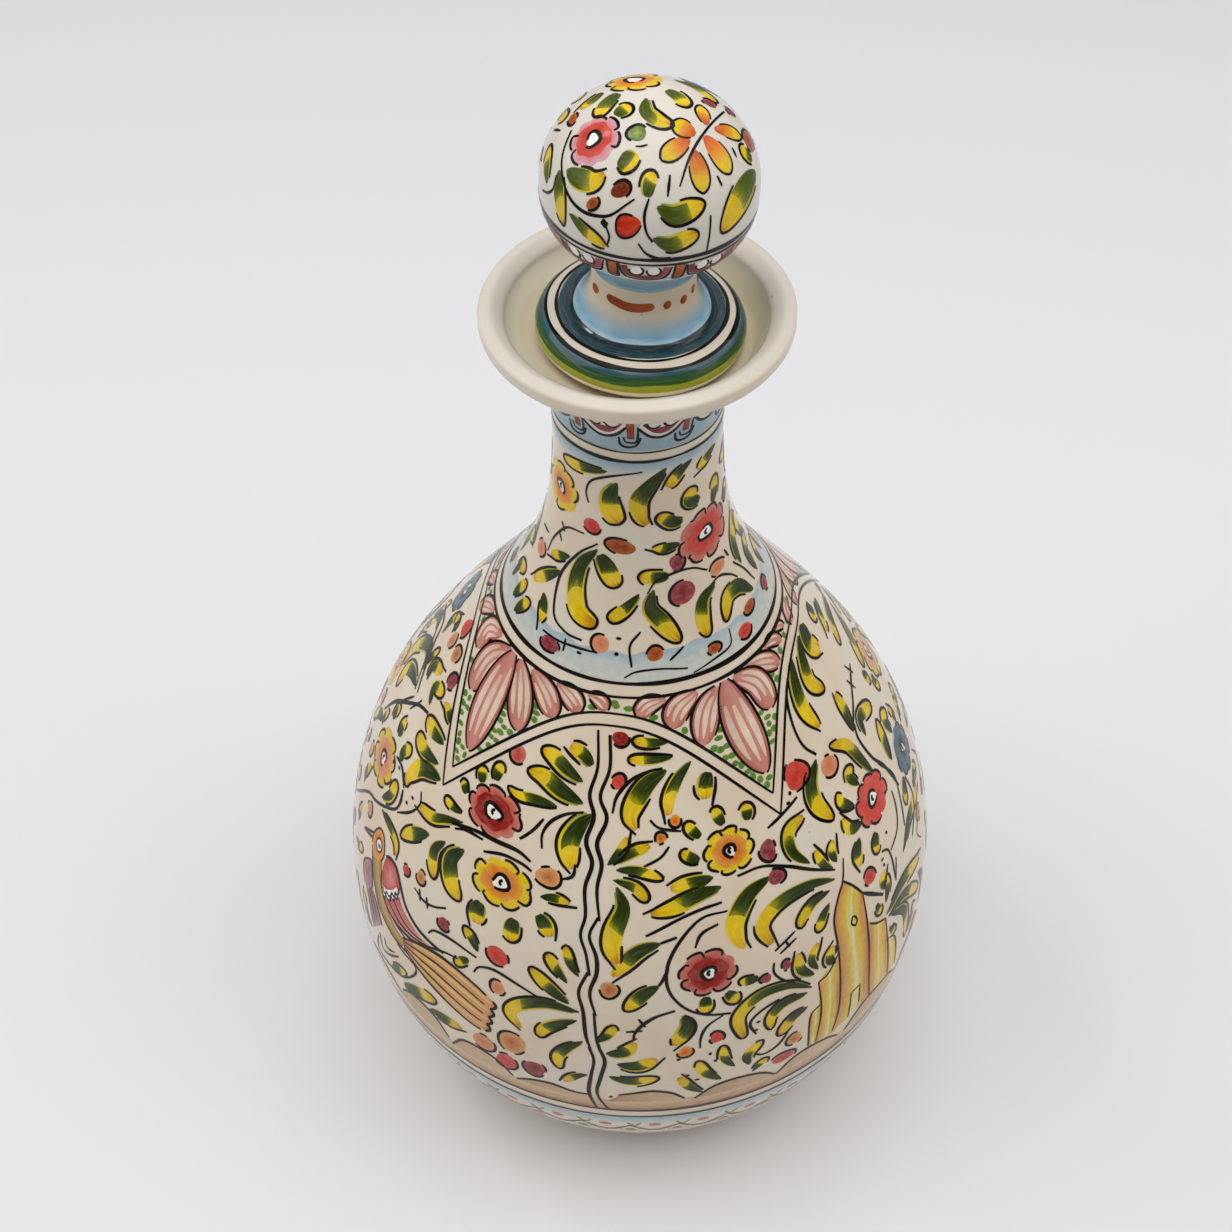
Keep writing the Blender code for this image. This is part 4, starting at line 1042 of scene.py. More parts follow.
# Two wavering lines part the front from the back
divider = [
    (-14.7, 97), (-13.3, 88.7), (-14.6, 82), (-12.7, 77), (-14, 71), (-11.9, 66), (-13, 60), (-12.3, 53),
    (-13, 48), (-11.6, 43), (-11, 38), (-12.6, 32), (-11.6, 26), (-11, 18), (-10.4, 14), (-9.5, 9),
    (-10.1, 2), (-10.6, -6), (-9.6, -13.9),
]
for by in (0, 180):
    for gap in (0, 2.5):
        wavering = []
        for a, height in divider:
            k = float(millimetresPerUnit(onBody, height))
            aside = gap + 0.5 * hand.uniform(-1, 1) * (gap > 0)
            wavering.append((a + by + aside / k, height - gap * 0.3 * (height > 90)))
        starts = (0, 7, 12) if gap else (0, 10, 14)  # the brush is lifted twice on the way
        for first, last in zip(starts, starts[1:] + (len(divider) - 1,)):
            part = np.array(wavering[first:last + 1])
            part[-1] += (0.35, -0.9)
            line(onBody, *part.ravel(), width=0.80)


# Lotus stars round the shoulder, each brushed by hand: petals over green dots inside a double outline
lotus = {
    "outer": 98.4, "inner": 101.2, "edge": 0.62, "top": 103.6,
    "power": 2.3, "reach": 45.5, "steeper": 0.22,  # the outlines are steeper where they reach further
    "dotsInside": 1.0, "dotsApart": 1.55, "dotsClear": 0.65, "tries": 9000,
    "right": [  # petals: greatest width, how pointed, then spots from root to tip; the big one lies on top
        (2.2, 0.45, 66, 104.7, 70, 104.1, 73, 102.8), (3.2, 0.45, 56.5, 104.6, 62, 104, 67, 101.9),
        (4.8, 0.42, 44.5, 104.4, 52.5, 102.3, 59.5, 99.2), (4.4, 0.42, 9.2, 104.4, 2.5, 103.4, -1.6, 100.8),
        (5.8, 0.42, 21.5, 104.5, 13.5, 101.9, 10, 97.7), (7.0, 0.42, 37.6, 104.1, 45.8, 99.6, 46.6, 92.6),
        (6.6, 0.55, 29.8, 103.8, 23.4, 99.4, 19.2, 92.2),
        (9.2, 0.62, 33.4, 104.4, 33.6, 97, 34.6, 89, 36, 80.4),
    ],
    "left": [
        (3.8, 0.42, -95, 104.6, -100, 103, -103, 100.4), (4.6, 0.42, -80, 104.4, -86, 102.4, -91.5, 99),
        (6.2, 0.42, -67.5, 104.2, -76, 101, -74.5, 95.6),
        (3.6, 0.42, -20.5, 104.6, -16, 103.8, -12.4, 101.9),
        (5.0, 0.42, -33.5, 104.6, -27, 102.8, -22, 100.2),
        (6.0, 0.45, -45.5, 104.2, -37, 101.2, -30.6, 96.8), (7.4, 0.45, -59, 104, -66, 97.6, -65, 88.6),
        (7.0, 0.55, -52.5, 104.2, -46, 97.6, -41, 89.8),
        (9.0, 0.66, -57, 104, -56.8, 97, -55.6, 88, -53.4, 78),
    ],
    "stars": [  # petals, turned by, tip, its two heights, reach to the left and right
        ("right", 0, 35.5, (69.5, 75.0), (45.5, 50)), ("left", 0, -55.5, (66.0, 71.5), (45, 45.5)),
        ("left", 180, -55.5, (66.0, 71.5), (39, 45.5)), ("right", 180, 35.5, (69.5, 75.0), (45.5, 44)),
    ],
}


def starLine(heights, level, x, far):
    # Height of the star's outer (0) or inner (1) outline, x from the arch's top (0) to the tip (1)
    top = lotus[("outer", "inner")[level]]
    steep = max(0, far - lotus["reach"]) * lotus["steeper"]
    return top - (top - heights[level]) * x ** (lotus["power"] + steep)


greenDots = 0
for petals, by, tipAt, heights, reaches in lotus["stars"]:
    x = np.linspace(0, 1, 60)
    for way, far in zip((-1, 1), reaches):
        for level in (0, 1):
            outline = np.c_[tipAt + by + way * far * (1 - x), starLine(heights, level, x, far)]
            lineAlong(onBody, outline, lotus["edge"])
    petalPaths = []
    for width, pointed, *corners in lotus[petals]:
        path = even(onBody, smooth(turnedRound(corners, by), 60))[0]
        t = np.linspace(0, 1, len(path))
        form = (t + 0.03) ** 0.72 * (1.01 - t) ** pointed
        full = width * form / form.max()
        over = 2.0 + 0.5 * len(petalPaths)
        petalPaths.append((path, full))
        ribbon(onBody, "lotusPink", path, full, over, 8, tint=0.5)
        side = sides(onBody, path)
        streaks = 3 if width > 4 else 2
        for i in range(streaks):
            offset = (i - (streaks - 1) / 2) / streaks * 0.86
            inside = path + side * (full * offset)[:, None]
            a, b = int(len(path) * hand.uniform(0.1, 0.26)), int(len(path) * hand.uniform(0.8, 0.94))
            thin = full[a:b] * 0.19 * np.sin(math.pi * (np.linspace(0, 1, b - a) * 0.86 + 0.1)) ** 0.5
            ribbon(onBody, "petalCream", inside[a:b], thin, over + 0.2, 2)
        left, right = (path + way * side * (full / 2 + 0.08)[:, None] for way in (1, -1))
        outward, inward = (left, right) if corners[-2] > tipAt or width > 8 else (right, left)
        tip = (path[-1] + (path[-1] - path[-2]) * 0.4)[None]
        lineAlong(onBody, smooth(np.vstack([outward, tip]), len(path)), 0.62, over + 0.3)
        part = inward[int(len(path) * hand.uniform(0.0, 0.3)):int(len(path) * hand.uniform(0.75, 1))]
        lineAlong(onBody, smooth(part if width < 7 else inward, len(path)), 0.56, over + 0.3)
    placed = []
    for attempt in range(lotus["tries"]):
        a, u = tipAt + by + hand.uniform(-reaches[0], reaches[1]), hand.uniform(heights[1], lotus["top"])
        far = reaches[int(a > tipAt + by)]
        x = 1 - abs(a - tipAt - by) / far
        k = float(millimetresPerUnit(onBody, u))
        within = u - starLine(heights, 1, x, far) > lotus["dotsInside"]
        if within and all(np.hypot((a - b) * k, u - v) > lotus["dotsApart"] for b, v in placed):
            gaps = [np.hypot((path[:, 0] - a) * k, path[:, 1] - u) - full / 2 for path, full in petalPaths]
            if min(gap.min() for gap in gaps) > lotus["dotsClear"]:
                placed.append((a, u))
    for a, u in placed:
        dot(onBody, a, u, 0.76 + 0.2 * hand.random(), "dotGreen", 1.5)
    greenDots += len(placed)
print("lotus stars:", len(lotus["stars"]), "with", greenDots, "dots")


def curls(chart, x, y, apart, across, high, arc, width):
    # Two white drops side by side, each with a black line round a part of it
    for way in (-1, 1):
        loop = ellipseOutline(chart, x + apart * way, y, across, high, 20)
        patch(chart, "tinWhite", (x + apart * way, y), loop, 5)
        lineAlong(chart, loop[arc % 20], width)


# Medallion border under the lip and lattice under the belly, one repeat each
neckBorder = dict(onBody, repeat=10)
loft(neckBorder, "bareCream", (-36, 176, -30, 172.9, -22, 172.1, -14, 173.3, -8.4, 176),
     (-36, 182, -30, 182, -22, 182, -14, 182, -8.4, 182), 2, rows=10)
line(neckBorder, -37, 175.5, -30, 172.8, -22, 172, -14, 173.2, -8, 175.8, width=0.68)
loft(neckBorder, "maroon", (-34, 176.5, -28, 174.0, -22, 173.2, -16, 174.0, -10, 176.8),
     (-32, 179, -27, 176.2, -22, 175.4, -17, 176.2, -12, 179), 4)
curls(neckBorder, -22, 177.5, 5.2, 1.6, 2.2, np.arange(5, 19), 0.5)
loft(neckBorder, "rust", (-7.7, 171.9, -7.9, 176, -8.2, 181), (-3.3, 171.9, -3.1, 176, -2.8, 181), 6)
line(neckBorder, -13, 172.3, -12, 170, -7, 169.4, -2, 170, 1, 172.3, width=0.5)
line(neckBorder, -10, 172.4, -9, 171, -5.5, 170.7, -2, 171, -1, 172.4, -1, 176, width=0.45)
footBorder = dict(onBody, repeat=36)
blob(footBorder, "rose", 1.7, -27, 1.7, 1.5, 14, 4, tint=0.5)
line(footBorder, -3.9, -24.8, -2.5, -28, -1.1, -24.8, width=0.7, paint="dotGreen", layer=5)
line(footBorder, -3.3, -28, 1.7, -34, 6.7, -28, width=0.75)
blob(footBorder, "rust", -3.3, -33, 1.3, 1.2, 12, 4, tint=0.6)
line(footBorder, -6.3, -31.6, -3.3, -35.6, -0.3, -31.6, width=0.6, paint="skyWash", layer=3)

# Tower and walls on the right of the front, and again at the back
keep = {
    "walls": [  # left edge, right edge, both from the bottom up
        ((32, -3, 32.2, 4, 32.3, 11), (34.6, -4, 34.7, 4, 34.8, 12)),
        ((34.2, -3, 34.5, 8, 34.5, 20.5), (39, -5, 39.3, 10, 39.8, 25.5)),
        ((48.5, -2, 47.9, 10, 49, 26), (54.8, -3, 54, 9, 54, 21.5)),
        ((54.8, -3, 54, 6, 53, 13), (58, -3, 58, 4, 57, 10)),
        ((38.2, -4, 39.4, 6, 39.8, 18, 40.0, 28, 40.3, 36, 42.4, 41, 44.8, 44.2),
         (48.5, -2, 47.7, 6, 47.8, 15, 48, 22, 48.4, 29, 48.8, 36, 48.9, 36.5)),
    ],
    "lines": [
        (0.55, 38.2, -3.5, 39.4, 6, 39.8, 18, 40, 28, 40.2, 36, 42.5, 41.2, 44.8, 44.4, 46.7, 49.5),
        (0.6, 48.8, 36, 47.8, 10, 48.5, -2), (0.6, 44.9, 44, 47, 40.6, 48.9, 36.3),
        (0.5, 34.5, 20.5, 37, 21.5, 39.8, 25.5), (0.5, 34.5, 20.5, 34.9, 10, 34, -3.3),
        (0.55, 49, 26, 51, 23.5, 54, 21.5), (0.5, 54, 21.5, 54.2, 10, 54.9, -2.5),
        (0.5, 32.3, -3, 32.1, 5, 32.6, 10.5, 34.6, 12), (0.5, 53.6, 13.6, 57, 10, 58, -3),
        (0.5, 42.3, -3, 42.6, 7.3), (0.5, 42.5, 7.2, 45, 7.8), (0.5, 45, 8, 45.1, 0),
        (0.6, 44.2, 31, 45, 33, 45.9, 31, 45.2, 29.4, 44.2, 31),
    ],
}
for by in (0, 180):
    for left, right in keep["walls"]:
        loft(onBody, "towerYellow", turnedRound(left, by), turnedRound(right, by), 4.5, rows=12)
    for width, *corners in keep["lines"]:
        line(onBody, *turnedRound(corners, by), width=width, layer=10)

# Long-tailed bird on the left of the front, and again at the back
bird = {
    "body": (
        (-69.4, 36, -69.4, 33.5, -68.6, 31, -67.6, 28.5, -66.6, 25.5, -65.1, 23, -63.6, 20.5, -62, 18,
         -59.5, 16.4, -56, 15, -53, 15),
        (-65, 37.5, -64.2, 35, -63.6, 32, -63.1, 30, -62.5, 26.5, -61, 24, -59.3, 22, -57.2, 20,
         -55, 18.8, -53, 18.4, -51.4, 18),
    ),
    "head": (-69.2, 36.5, -68, 38.8, -66.3, 39, -64.8, 37.5, -63.9, 34.5, -64.6, 31.6, -67.2, 29.8,
             -69, 31.8, -69.7, 34.4),
    "eye": (-66.3, 34.8),
    "upperWing": (-63, 31.5, -62.8, 34.3, -61.2, 36.3, -58.8, 36.2, -57, 35, -56, 32.5, -56.4, 30.2,
                  -58.5, 27.8, -60.5, 26.4, -62, 26.6),
    "lace": (-61.6, 25.2, -60.1, 25.5, -58.8, 26.8, -57.4, 28.6, -56.2, 31),
    "feathers": (
        (-60.8, 23.6, -58.3, 21.6, -53.5, 20.9, -49.5, 21.4, -45.3, 23.8),
        (-55.7, 30.2, -54, 27.8, -50.5, 26, -47.5, 24.9, -44.5, 25.2),
    ),
    "lowerWing": (-70, 24.5, -67.9, 26.8, -66.8, 24, -65.9, 20, -67.2, 16.8, -69.5, 16, -71.1, 19.5,
                  -71.1, 22.5),
    "lowerFeathers": (
        (-68.6, 16.6, -66.7, 13, -65.4, 9.5, -64.4, 6), (-65.8, 19, -63.8, 17.8, -61.9, 15.5, -60.6, 12.8),
    ),
    "tail": (
        (-52.2, 15.6, -47, 13, -42.5, 11, -37.5, 8.8, -33.5, 7.3, -31, 7.4),
        (-52.8, 18.6, -48.5, 22, -43, 24.3, -38, 24.1, -33, 22.3, -29.5, 20),
    ),
    "lines": [
        (0.7, -74.5, 30, -72, 31.6, -69.3, 33.4), (0.6, -74, 30.8, -71.4, 33.2, -69.6, 35),
        (0.5, -69.4, 31.8, -69.6, 35, -68.2, 38.6, -66.3, 39.3, -64.6, 37.6, -63.6, 34.5, -64.2, 31.8),
        (0.45, -69, 31.5, -67.7, 28.5, -66.7, 25.5, -65.2, 22.8, -63.7, 20.3, -62, 17.8),
        (0.55, -62, 17.8, -59.5, 16.3, -56, 14.8, -53, 14.8, -50.5, 14.9),
        (0.5, -63, 30, -62.5, 26.5, -61.1, 24.2, -58.9, 21.9, -55.5, 20.4, -51.6, 19.4),
        (0.9, -62.8, 35.2, -61.4, 36.6, -58.6, 36.5, -56, 33.4, -53.2, 29.5, -49, 26.9,
         -45, 26.2, -41.5, 26.1),
        (0.7, -60.9, 23.4, -58, 21.4, -53.5, 20.8, -49.5, 21.6, -44.5, 24.9),
        (0.55, -58.6, 24.4, -54.5, 22.6, -50, 22.6, -46, 24.2),
        (0.45, -57, 27, -53.8, 24.6, -50.2, 23.8, -47.2, 24.4),
        (0.5, -70, 24.9, -67.9, 27, -66.7, 24, -65.8, 20, -67.2, 16.6),
        (0.5, -70, 24.9, -71.3, 22.5, -71.3, 19.5, -69.6, 15.8),
        (0.5, -68.7, 16.5, -66.8, 12.9, -65.5, 9.3, -64.5, 5.8), (0.45, -67, 17, -65.2, 13.4, -63.8, 9),
        (0.45, -66, 18, -64, 15, -62.6, 11.4), (0.5, -65.5, 19, -63.5, 17.9, -61.8, 15.4, -60.4, 12.6),
    ],
}


def birdEdges(part, by):
    return [turnedRound(corners, by) for corners in bird[part]]


def birdShape(part, by):
    corners = turnedRound(bird[part], by)
    return smooth(corners + corners[:2], 60)[:-1]


for by in (0, 180):
    loft(onBody, "ochre", *birdEdges("body", by), 6.5, rows=6)
    head, wing, lowWing = (birdShape(part, by) for part in ("head", "upperWing", "lowerWing"))
    patch(onBody, "orange", head.mean(0), head, 7)
    loft(onBody, "plumeSalmon", *birdEdges("tail", by), 4.5, rows=12)
    low, top = (smooth(corners, 60) for corners in birdEdges("tail", by))
    for i, share in enumerate((0.0, 0.25, 0.5, 0.75)):  # the tail's four feathers
        stripe = even(onBody, low * (0.85 - share) + top * (share + 0.15))[0]
        t = np.linspace(0, 1, len(stripe))
        ribbon(onBody, "straw", stripe[4:], (1.4 * np.sin(math.pi * (t * 0.8 + 0.12)))[4:], 5.5)
        vane = low * (1 - share) + top * share
        line(onBody, *vane[::6].ravel(), width=0.5 if i else 0.75, layer=10)
        tip, upper = vane[-1], low[-1] * (0.75 - share) + top[-1] * (share + 0.25)
        middle = (tip + upper) / 2
        blob(onBody, "plumeSalmon", *middle, 1.3, 1.5, 16, 5)
        line(onBody, *tip, *(middle + (1.15, 0.1)), *upper, width=0.8, layer=10)
    line(onBody, *top[::6].ravel(), width=0.8, layer=10)
    patch(onBody, "wingRose", wing.mean(0), wing, 6, tint=0.45)
    patch(onBody, "plumeMauve", lowWing.mean(0), lowWing, 6)
    loft(onBody, "plumeRed", *birdEdges("feathers", by), 5.5, rows=6, tint=0.5)
    loft(onBody, "plumeMauve", *birdEdges("lowerFeathers", by), 5.5, rows=4)
    lace = even(onBody, smooth(turnedRound(bird["lace"], by), 40))[0]
    ribbon(onBody, "tinWhite", lace, np.full(len(lace), 2.4), 7, 2)
    for i in range(4):
        a, b = (lace[min(len(lace) - 1, int(len(lace) * (i + part) / 4))] for part in (0, 1))
        for lift in (-0.9, 0.5):
            sag = ((a[0] + b[0]) / 2 + 0.5, (a[1] + b[1]) / 2 - 1.1 + lift)
            line(onBody, a[0], a[1] + 0.4 + lift, *sag, b[0], b[1] + 0.4 + lift, width=0.6, layer=10)
    eye = (bird["eye"][0] + by, bird["eye"][1])
    blob(onBody, "manganeseBlack", *eye, 1.9, 2.2, 18, 8)
    blob(onBody, "tinWhite", *eye, 1.35, 1.6, 16, 9)
    dot(onBody, eye[0] + 0.2, eye[1] - 0.1, 0.65, layer=10)
    for width, *corners in bird["lines"]:
        line(onBody, *turnedRound(corners, by), width=width, layer=10)

# Bands of the stopper's collar and grip, and the border under its ball
knobBands = [
    ("ringGreen", 2.7, 6.1), ("slateTeal", 6.0, 7.8), ("deepTeal", 13.7, 10.4), ("skyWash", 13.5, 19.0),
    ("skyWash", 25, 29.5), ("skyWash", 36.0, 45.0),
]
for paint, low, high in knobBands:
    band(onKnob, paint, low, high, 0 if paint == "skyWash" else 1, rows=5)
for height, width in ((7.7, 0.85), (9.95, 0.7), (46.3, 0.9), (45.0, 0.55)):
    ringLine(onKnob, height, width)
gripDashes = [
    (-72, -57), (-45, 10.5), (19.5, 29.5), (40.5, 52), (60, 70), (84, 96), (108, 150), (160, 171),
    (183, 215), (226, 237), (248, 272),
]
for left, right in gripDashes:
    angle = np.linspace(left, right, 30)
    path, length = even(onKnob, np.c_[angle, 21.4 + 0.25 * np.sin(angle / 9)])
    t = np.linspace(0, 1, len(path))
    ribbon(onKnob, "rust", path, 1.9 * (1 - np.abs(2 * t - 1) ** max(2, length / 1.2)) ** 0.5 + 0.1, 3, 3)
ballBorder = dict(onKnob, repeat=10)
loft(ballBorder, "maroon", (-16, 44.2, -13, 41, -3, 39.7, 7, 41, 10, 44.2),
     (-12.5, 44.4, -11, 42.6, -3, 41.4, 5, 42.6, 6.5, 44.4), 4)
curls(ballBorder, -3, 43.0, 4.6, 1.35, 1.5, np.arange(9, 24), 0.45)
line(ballBorder, -17, 44.4, -13.5, 40.4, -3, 39.2, 7.5, 40.4, 11, 44.4, width=0.5)
loft(ballBorder, "rust", (-22.5, 40, -22.6, 42.5, -22.8, 44.6), (-18.5, 40, -18.4, 42.5, -18.2, 44.6), 6)
line(ballBorder, -23.4, 44.6, -23.2, 40, -20.5, 39.2, -17.8, 40, -17.6, 44.6, width=0.45)
print("borders, tower, bird and stopper bands painted")

# The flanks, which the front view hides: one more spray up each side, in the same hand
flankSprays = {
    "stems": [
        (0.8, 100, -4, 98, 2, 100, 14, 102, 26, 104, 34.5), (0.6, 99, 6, 97, 10, 95.5, 13.5),
        (0.6, 107, 33, 109, 29), (0.8, -95, -4, -97, 6, -95, 16, -97, 27, -100, 40, -102.5, 49),
        (0.6, -96.5, 5, -94, 6.5), (0.6, -99, 36, -96, 38.5),
    ],
    "leaves": [
        (4, 99, 0, 103, 4, 108, 3.5), (4, 98, -1, 93, 3, 88, 3.5), (4.2, 99.5, 9, 104, 13.5, 108.5, 13.5),
        (3.8, 101, 19, 105, 22, 108.5, 27), (3.6, 101, 22, 98, 28, 95.5, 32), (3.2, 86.5, 8, 84, 4, 85, -1),
        (3.4, 108, 52, 110, 57, 108, 62), (4, -95.5, 0, -100, 3.5, -104.5, 2.5),
        (4.2, -96.5, 8, -101, 12.5, -105, 12.5), (3.8, -95.5, 14.5, -99.5, 18.5, -103.5, 20),
        (3.8, -95.5, 18, -92, 22, -88.5, 22.5), (3.6, -97, 26, -101, 28.5, -104.5, 27.5),
        (3.4, -98, 31, -95, 34, -94.5, 37.5), (3.6, -100.5, 42, -105, 43, -108, 40),
        (3.2, -107, 63.5, -109, 67, -106, 70),
    ],
    "flowers": [
        ("rose", "crimson", 103.6, 41.6, 6.4, 5.8), ("sunYellow", "orange", 92.5, 19.5, 6.4, 5.8),
        ("rose", "red", -88.5, 9.5, 6.4, 5.8), ("sunYellow", "orange", -104, 55, 6.4, 5.9),
    ],
    "berries": [
        ("amber", 104.5, -4, 2.4, 2), ("red", 110, 20.5, 2, 2.1), ("maroon", 110.5, 8.5, 2.2, 2.2),
        ("salmon", 99.5, 36, 1.9, 2), ("maroon", -81.5, 2, 2.2, 2.2), ("red", -92.5, 29.5, 2, 2.1),
        ("salmon", -88, 31, 1.9, 2), ("maroon", -107, 7.5, 2, 2.1), ("amber", -97, 49.5, 2, 2.2),
        ("red", -87, -1.5, 2, 2),
    ],
    "dots": [(107, 9), (96, 38.5), (-91, 26.5), (-98, 23)],
}
paintGarden(onBody, flankSprays, 0.70)
print("flanks filled")


borders = {"repeats": 10, "unevenness": 0.004, "seed": 3}  # a repeat slips round by so many radians


def ringTree():
    # A border's repeat is turned round the axis by Geometry Nodes
    tree = bpy.data.node_groups.new("Border round a pot", "GeometryNodeTree")
    face = tree.interface
    face.new_socket("Geometry", in_out="INPUT", socket_type="NodeSocketGeometry")
    numbers = (("Repeats", "Int", borders["repeats"]), ("Unevenness", "Float", borders["unevenness"]),
               ("Seed", "Int", borders["seed"]))
    for label, kind, value in numbers:
        socket = face.new_socket(label, in_out="INPUT", socket_type="NodeSocket" + kind)
        socket.default_value = value
    face.new_socket("Glaze", in_out="INPUT", socket_type="NodeSocketMaterial")
    face.new_socket("Geometry", in_out="OUTPUT", socket_type="NodeSocketGeometry")
    given = add(tree, "NodeGroupInput").outputs
    places = add(tree, "GeometryNodeMeshLine", {"Count": given["Repeats"], "Offset": (0, 0, 0)})
    step = maths(tree, "DIVIDE", math.tau, given["Repeats"])
    angle = maths(tree, "MULTIPLY", add(tree, "GeometryNodeInputIndex").outputs[0], step)
    back = maths(tree, "MULTIPLY", given["Unevenness"], -1.0)
    slip = add(tree, "FunctionNodeRandomValue", {"Seed": given["Seed"]})
    for limit, value in (("Min", back), ("Max", given["Unevenness"])):
        tree.links.new(value, next(i for i in slip.inputs if i.name == limit and i.type == "VALUE"))
    slipped = next(o for o in slip.outputs if o.type == "VALUE")
    spin = add(tree, "ShaderNodeCombineXYZ", {"Z": maths(tree, "ADD", angle, slipped)})
    spread = {"Points": places.outputs["Mesh"], "Instance": given["Geometry"], "Rotation": spin.outputs[0]}
    copies = add(tree, "GeometryNodeInstanceOnPoints", spread)
    real = add(tree, "GeometryNodeRealizeInstances", {"Geometry": copies.outputs["Instances"]})
    sockets = {"Geometry": real.outputs["Geometry"], "Material": given["Glaze"]}
    coated = add(tree, "GeometryNodeSetMaterial", sockets)
    add(tree, "NodeGroupOutput", {"Geometry": coated.outputs["Geometry"]})
    return tree


fields = ("along", "across", "tint", "reach")


def gathered(jobs):
    # All touches of one paint as one set of arrays
    points = np.vstack([job[0] for job in jobs])
    faces, start = [], 0
    for job in jobs:
        faces += [tuple(v + start for v in face) for face in job[1]]
        start += len(job[0])
    return points, faces, [np.concatenate([job[2 + i] for job in jobs]) for i in range(4)]


def repeatedRound(points, faces, values, repeats, material, tree):
    mesh = bpy.data.meshes.new("one repeat")
    mesh.from_pydata(points.tolist(), [], faces)
    for name, value in zip(fields, values):
        mesh.attributes.new(name, "FLOAT", "POINT").data.foreach_set("value", value.astype(np.float32))
    holder = bpy.data.objects.new("one repeat", mesh)
    bpy.context.scene.collection.objects.link(holder)
    modifier = holder.modifiers.new("Border", "NODES")
    modifier.node_group = tree
    sockets = {item.name: item.identifier for item in tree.interface.items_tree if item.in_out == "INPUT"}
    modifier[sockets["Repeats"]] = repeats
    modifier[sockets["Unevenness"]] = borders["unevenness"]
    modifier[sockets["Seed"]] = borders["seed"]
    modifier[sockets["Glaze"]] = material
    made = bpy.data.meshes.new_from_object(holder.evaluated_get(bpy.context.evaluated_depsgraph_get()))
    count = len(made.vertices)
    around = np.zeros(count * 3, np.float32)
    made.vertices.foreach_get("co", around)
    found = []
    for name in fields:
        value = np.zeros(count, np.float32)
        made.attributes[name].data.foreach_get("value", value)
        found.append(value)
    around, corners = around.reshape(-1, 3), [tuple(p.vertices) for p in made.polygons]
    holder.modifiers.clear()
    bpy.data.objects.remove(holder)
    bpy.data.meshes.remove(made)
    return around, corners, found


def paintedPieces():
    tree, merged = ringTree(), {}
    for (body, paint, repeats), jobs in painted.items():
        points, faces, values = gathered(jobs)
        if repeats > 1:
            points, faces, values = repeatedRound(points, faces, values, repeats, materials[paint], tree)
        merged.setdefault((body, paint), []).append((points, faces, *values))
    pieces = []
    for (body, paint), jobs in merged.items():
        points, faces, (along, across, tint, reach) = gathered(jobs)
        outline = knobLine if body == "stopper" else bodyLine
        radius = np.maximum(np.hypot(points[:, 0], points[:, 1]), 1e-6)
        out, up = np.interp(reach, outline["s"], outline["nr"]), np.interp(reach, outline["s"], outline["nz"])
        normals = np.c_[points[:, 0] / radius * out, points[:, 1] / radius * out, up]
        piece = shown(body + "_" + paint, body, points, faces, materials[paint], normals)
        mesh = piece.data
        layer = mesh.uv_layers.new(name="stroke")
        corner = np.zeros(len(mesh.loops), np.int32)
        mesh.loops.foreach_get("vertex_index", corner)
        layer.data.foreach_set("uv", np.c_[along[corner], across[corner]].astype(np.float32).ravel())
        mesh.attributes.new("tint", "FLOAT", "POINT").data.foreach_set("value", tint.astype(np.float32))
        pieces.append((piece, body))
    return pieces


materials = {name: underglaze(name, recipe) for name, recipe in pigments.items()}
bare = bareGlaze("tinGlazedEarthenware")


def drawnIn(outline):
    # The painted faces of the turned pieces lie just under the paint
    inset = outline["inset"]
    return np.c_[outline["r"] - outline["nr"] * inset, outline["z"] - outline["nz"] * inset]


def carafeShell():
    foot, outer = footOutline(carafe), drawnIn(bodyLine)
    whole = np.vstack([foot, outer, carafeRest(carafe)])
    points, faces = turned(whole, carafe["stepsRound"])
    # The cup is a little out of true, so the leaning stopper sits evenly in it
    row = np.arange(len(points)) // carafe["stepsRound"] + 1
    within = (row >= len(foot) + len(outer) + carafe["lipSteps"]) & (row < len(whole) - 1)
    amount = np.interp(points[:, 2], carafe["cupHeights"], (0, 1, 1, 0)) * within
    points[:, 2] -= amount * points[:, 0] * math.tan(math.radians(stopper["lean"]))
    return points, faces


def stopperShell():
    # The casting hollow from its top down the bore, then the plug, the collar's underside and the outer face
    p = stopper
    outer = drawnIn(knobLine)
    outer[-1, 0] = 0
    top, foot, end = p["plugRadius"], p["plugRadius"] - p["plugTaper"], -p["plugLength"]
    edge, fillet, under = p["edgeBreak"], p["plugFillet"], p["collarUndercut"]
    hollowGrip, rim = p["gripRadius"] - p["wall"], p["collarRadius"] - under - p["rimInset"]
    hollow = ballSide(p, p["wall"], hollowGrip, 12)[::-1] + (0, ballHeight(p))
    bore = [(hollowGrip, under + p["collarShoulder"])]
    plug = [(foot - p["wall"], end), (foot - edge, end), (foot - edge / 4, end + edge / 4)]
    plug += [(foot, end + edge), (top - p["plugNeck"], -under), (top, -fillet)]
    underside = [(top + fillet, p["underside"][0]), (rim, p["underside"][1])]
    return turned(np.vstack([hollow, bore, plug, underside, outer]), p["stepsRound"])


creaseAngle = 40  # degrees; the shells' sharper edges stay sharp
shells = [("body_glaze_shell", "carafe", carafeShell()), ("stopper_glaze_shell", "stopper", stopperShell())]
for name, body, (points, faces) in shells:
    piece = shown(name, body, points, faces, bare)
    piece.data.set_sharp_from_angle(angle=math.radians(creaseAngle))
    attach(piece, body)
    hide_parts("carafe_body" if body == "carafe" else "stopper")
    print(name, len(piece.data.polygons), "faces")
for piece, body in paintedPieces():
    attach(piece, body)
    print(piece.name, len(piece.data.polygons), "faces")


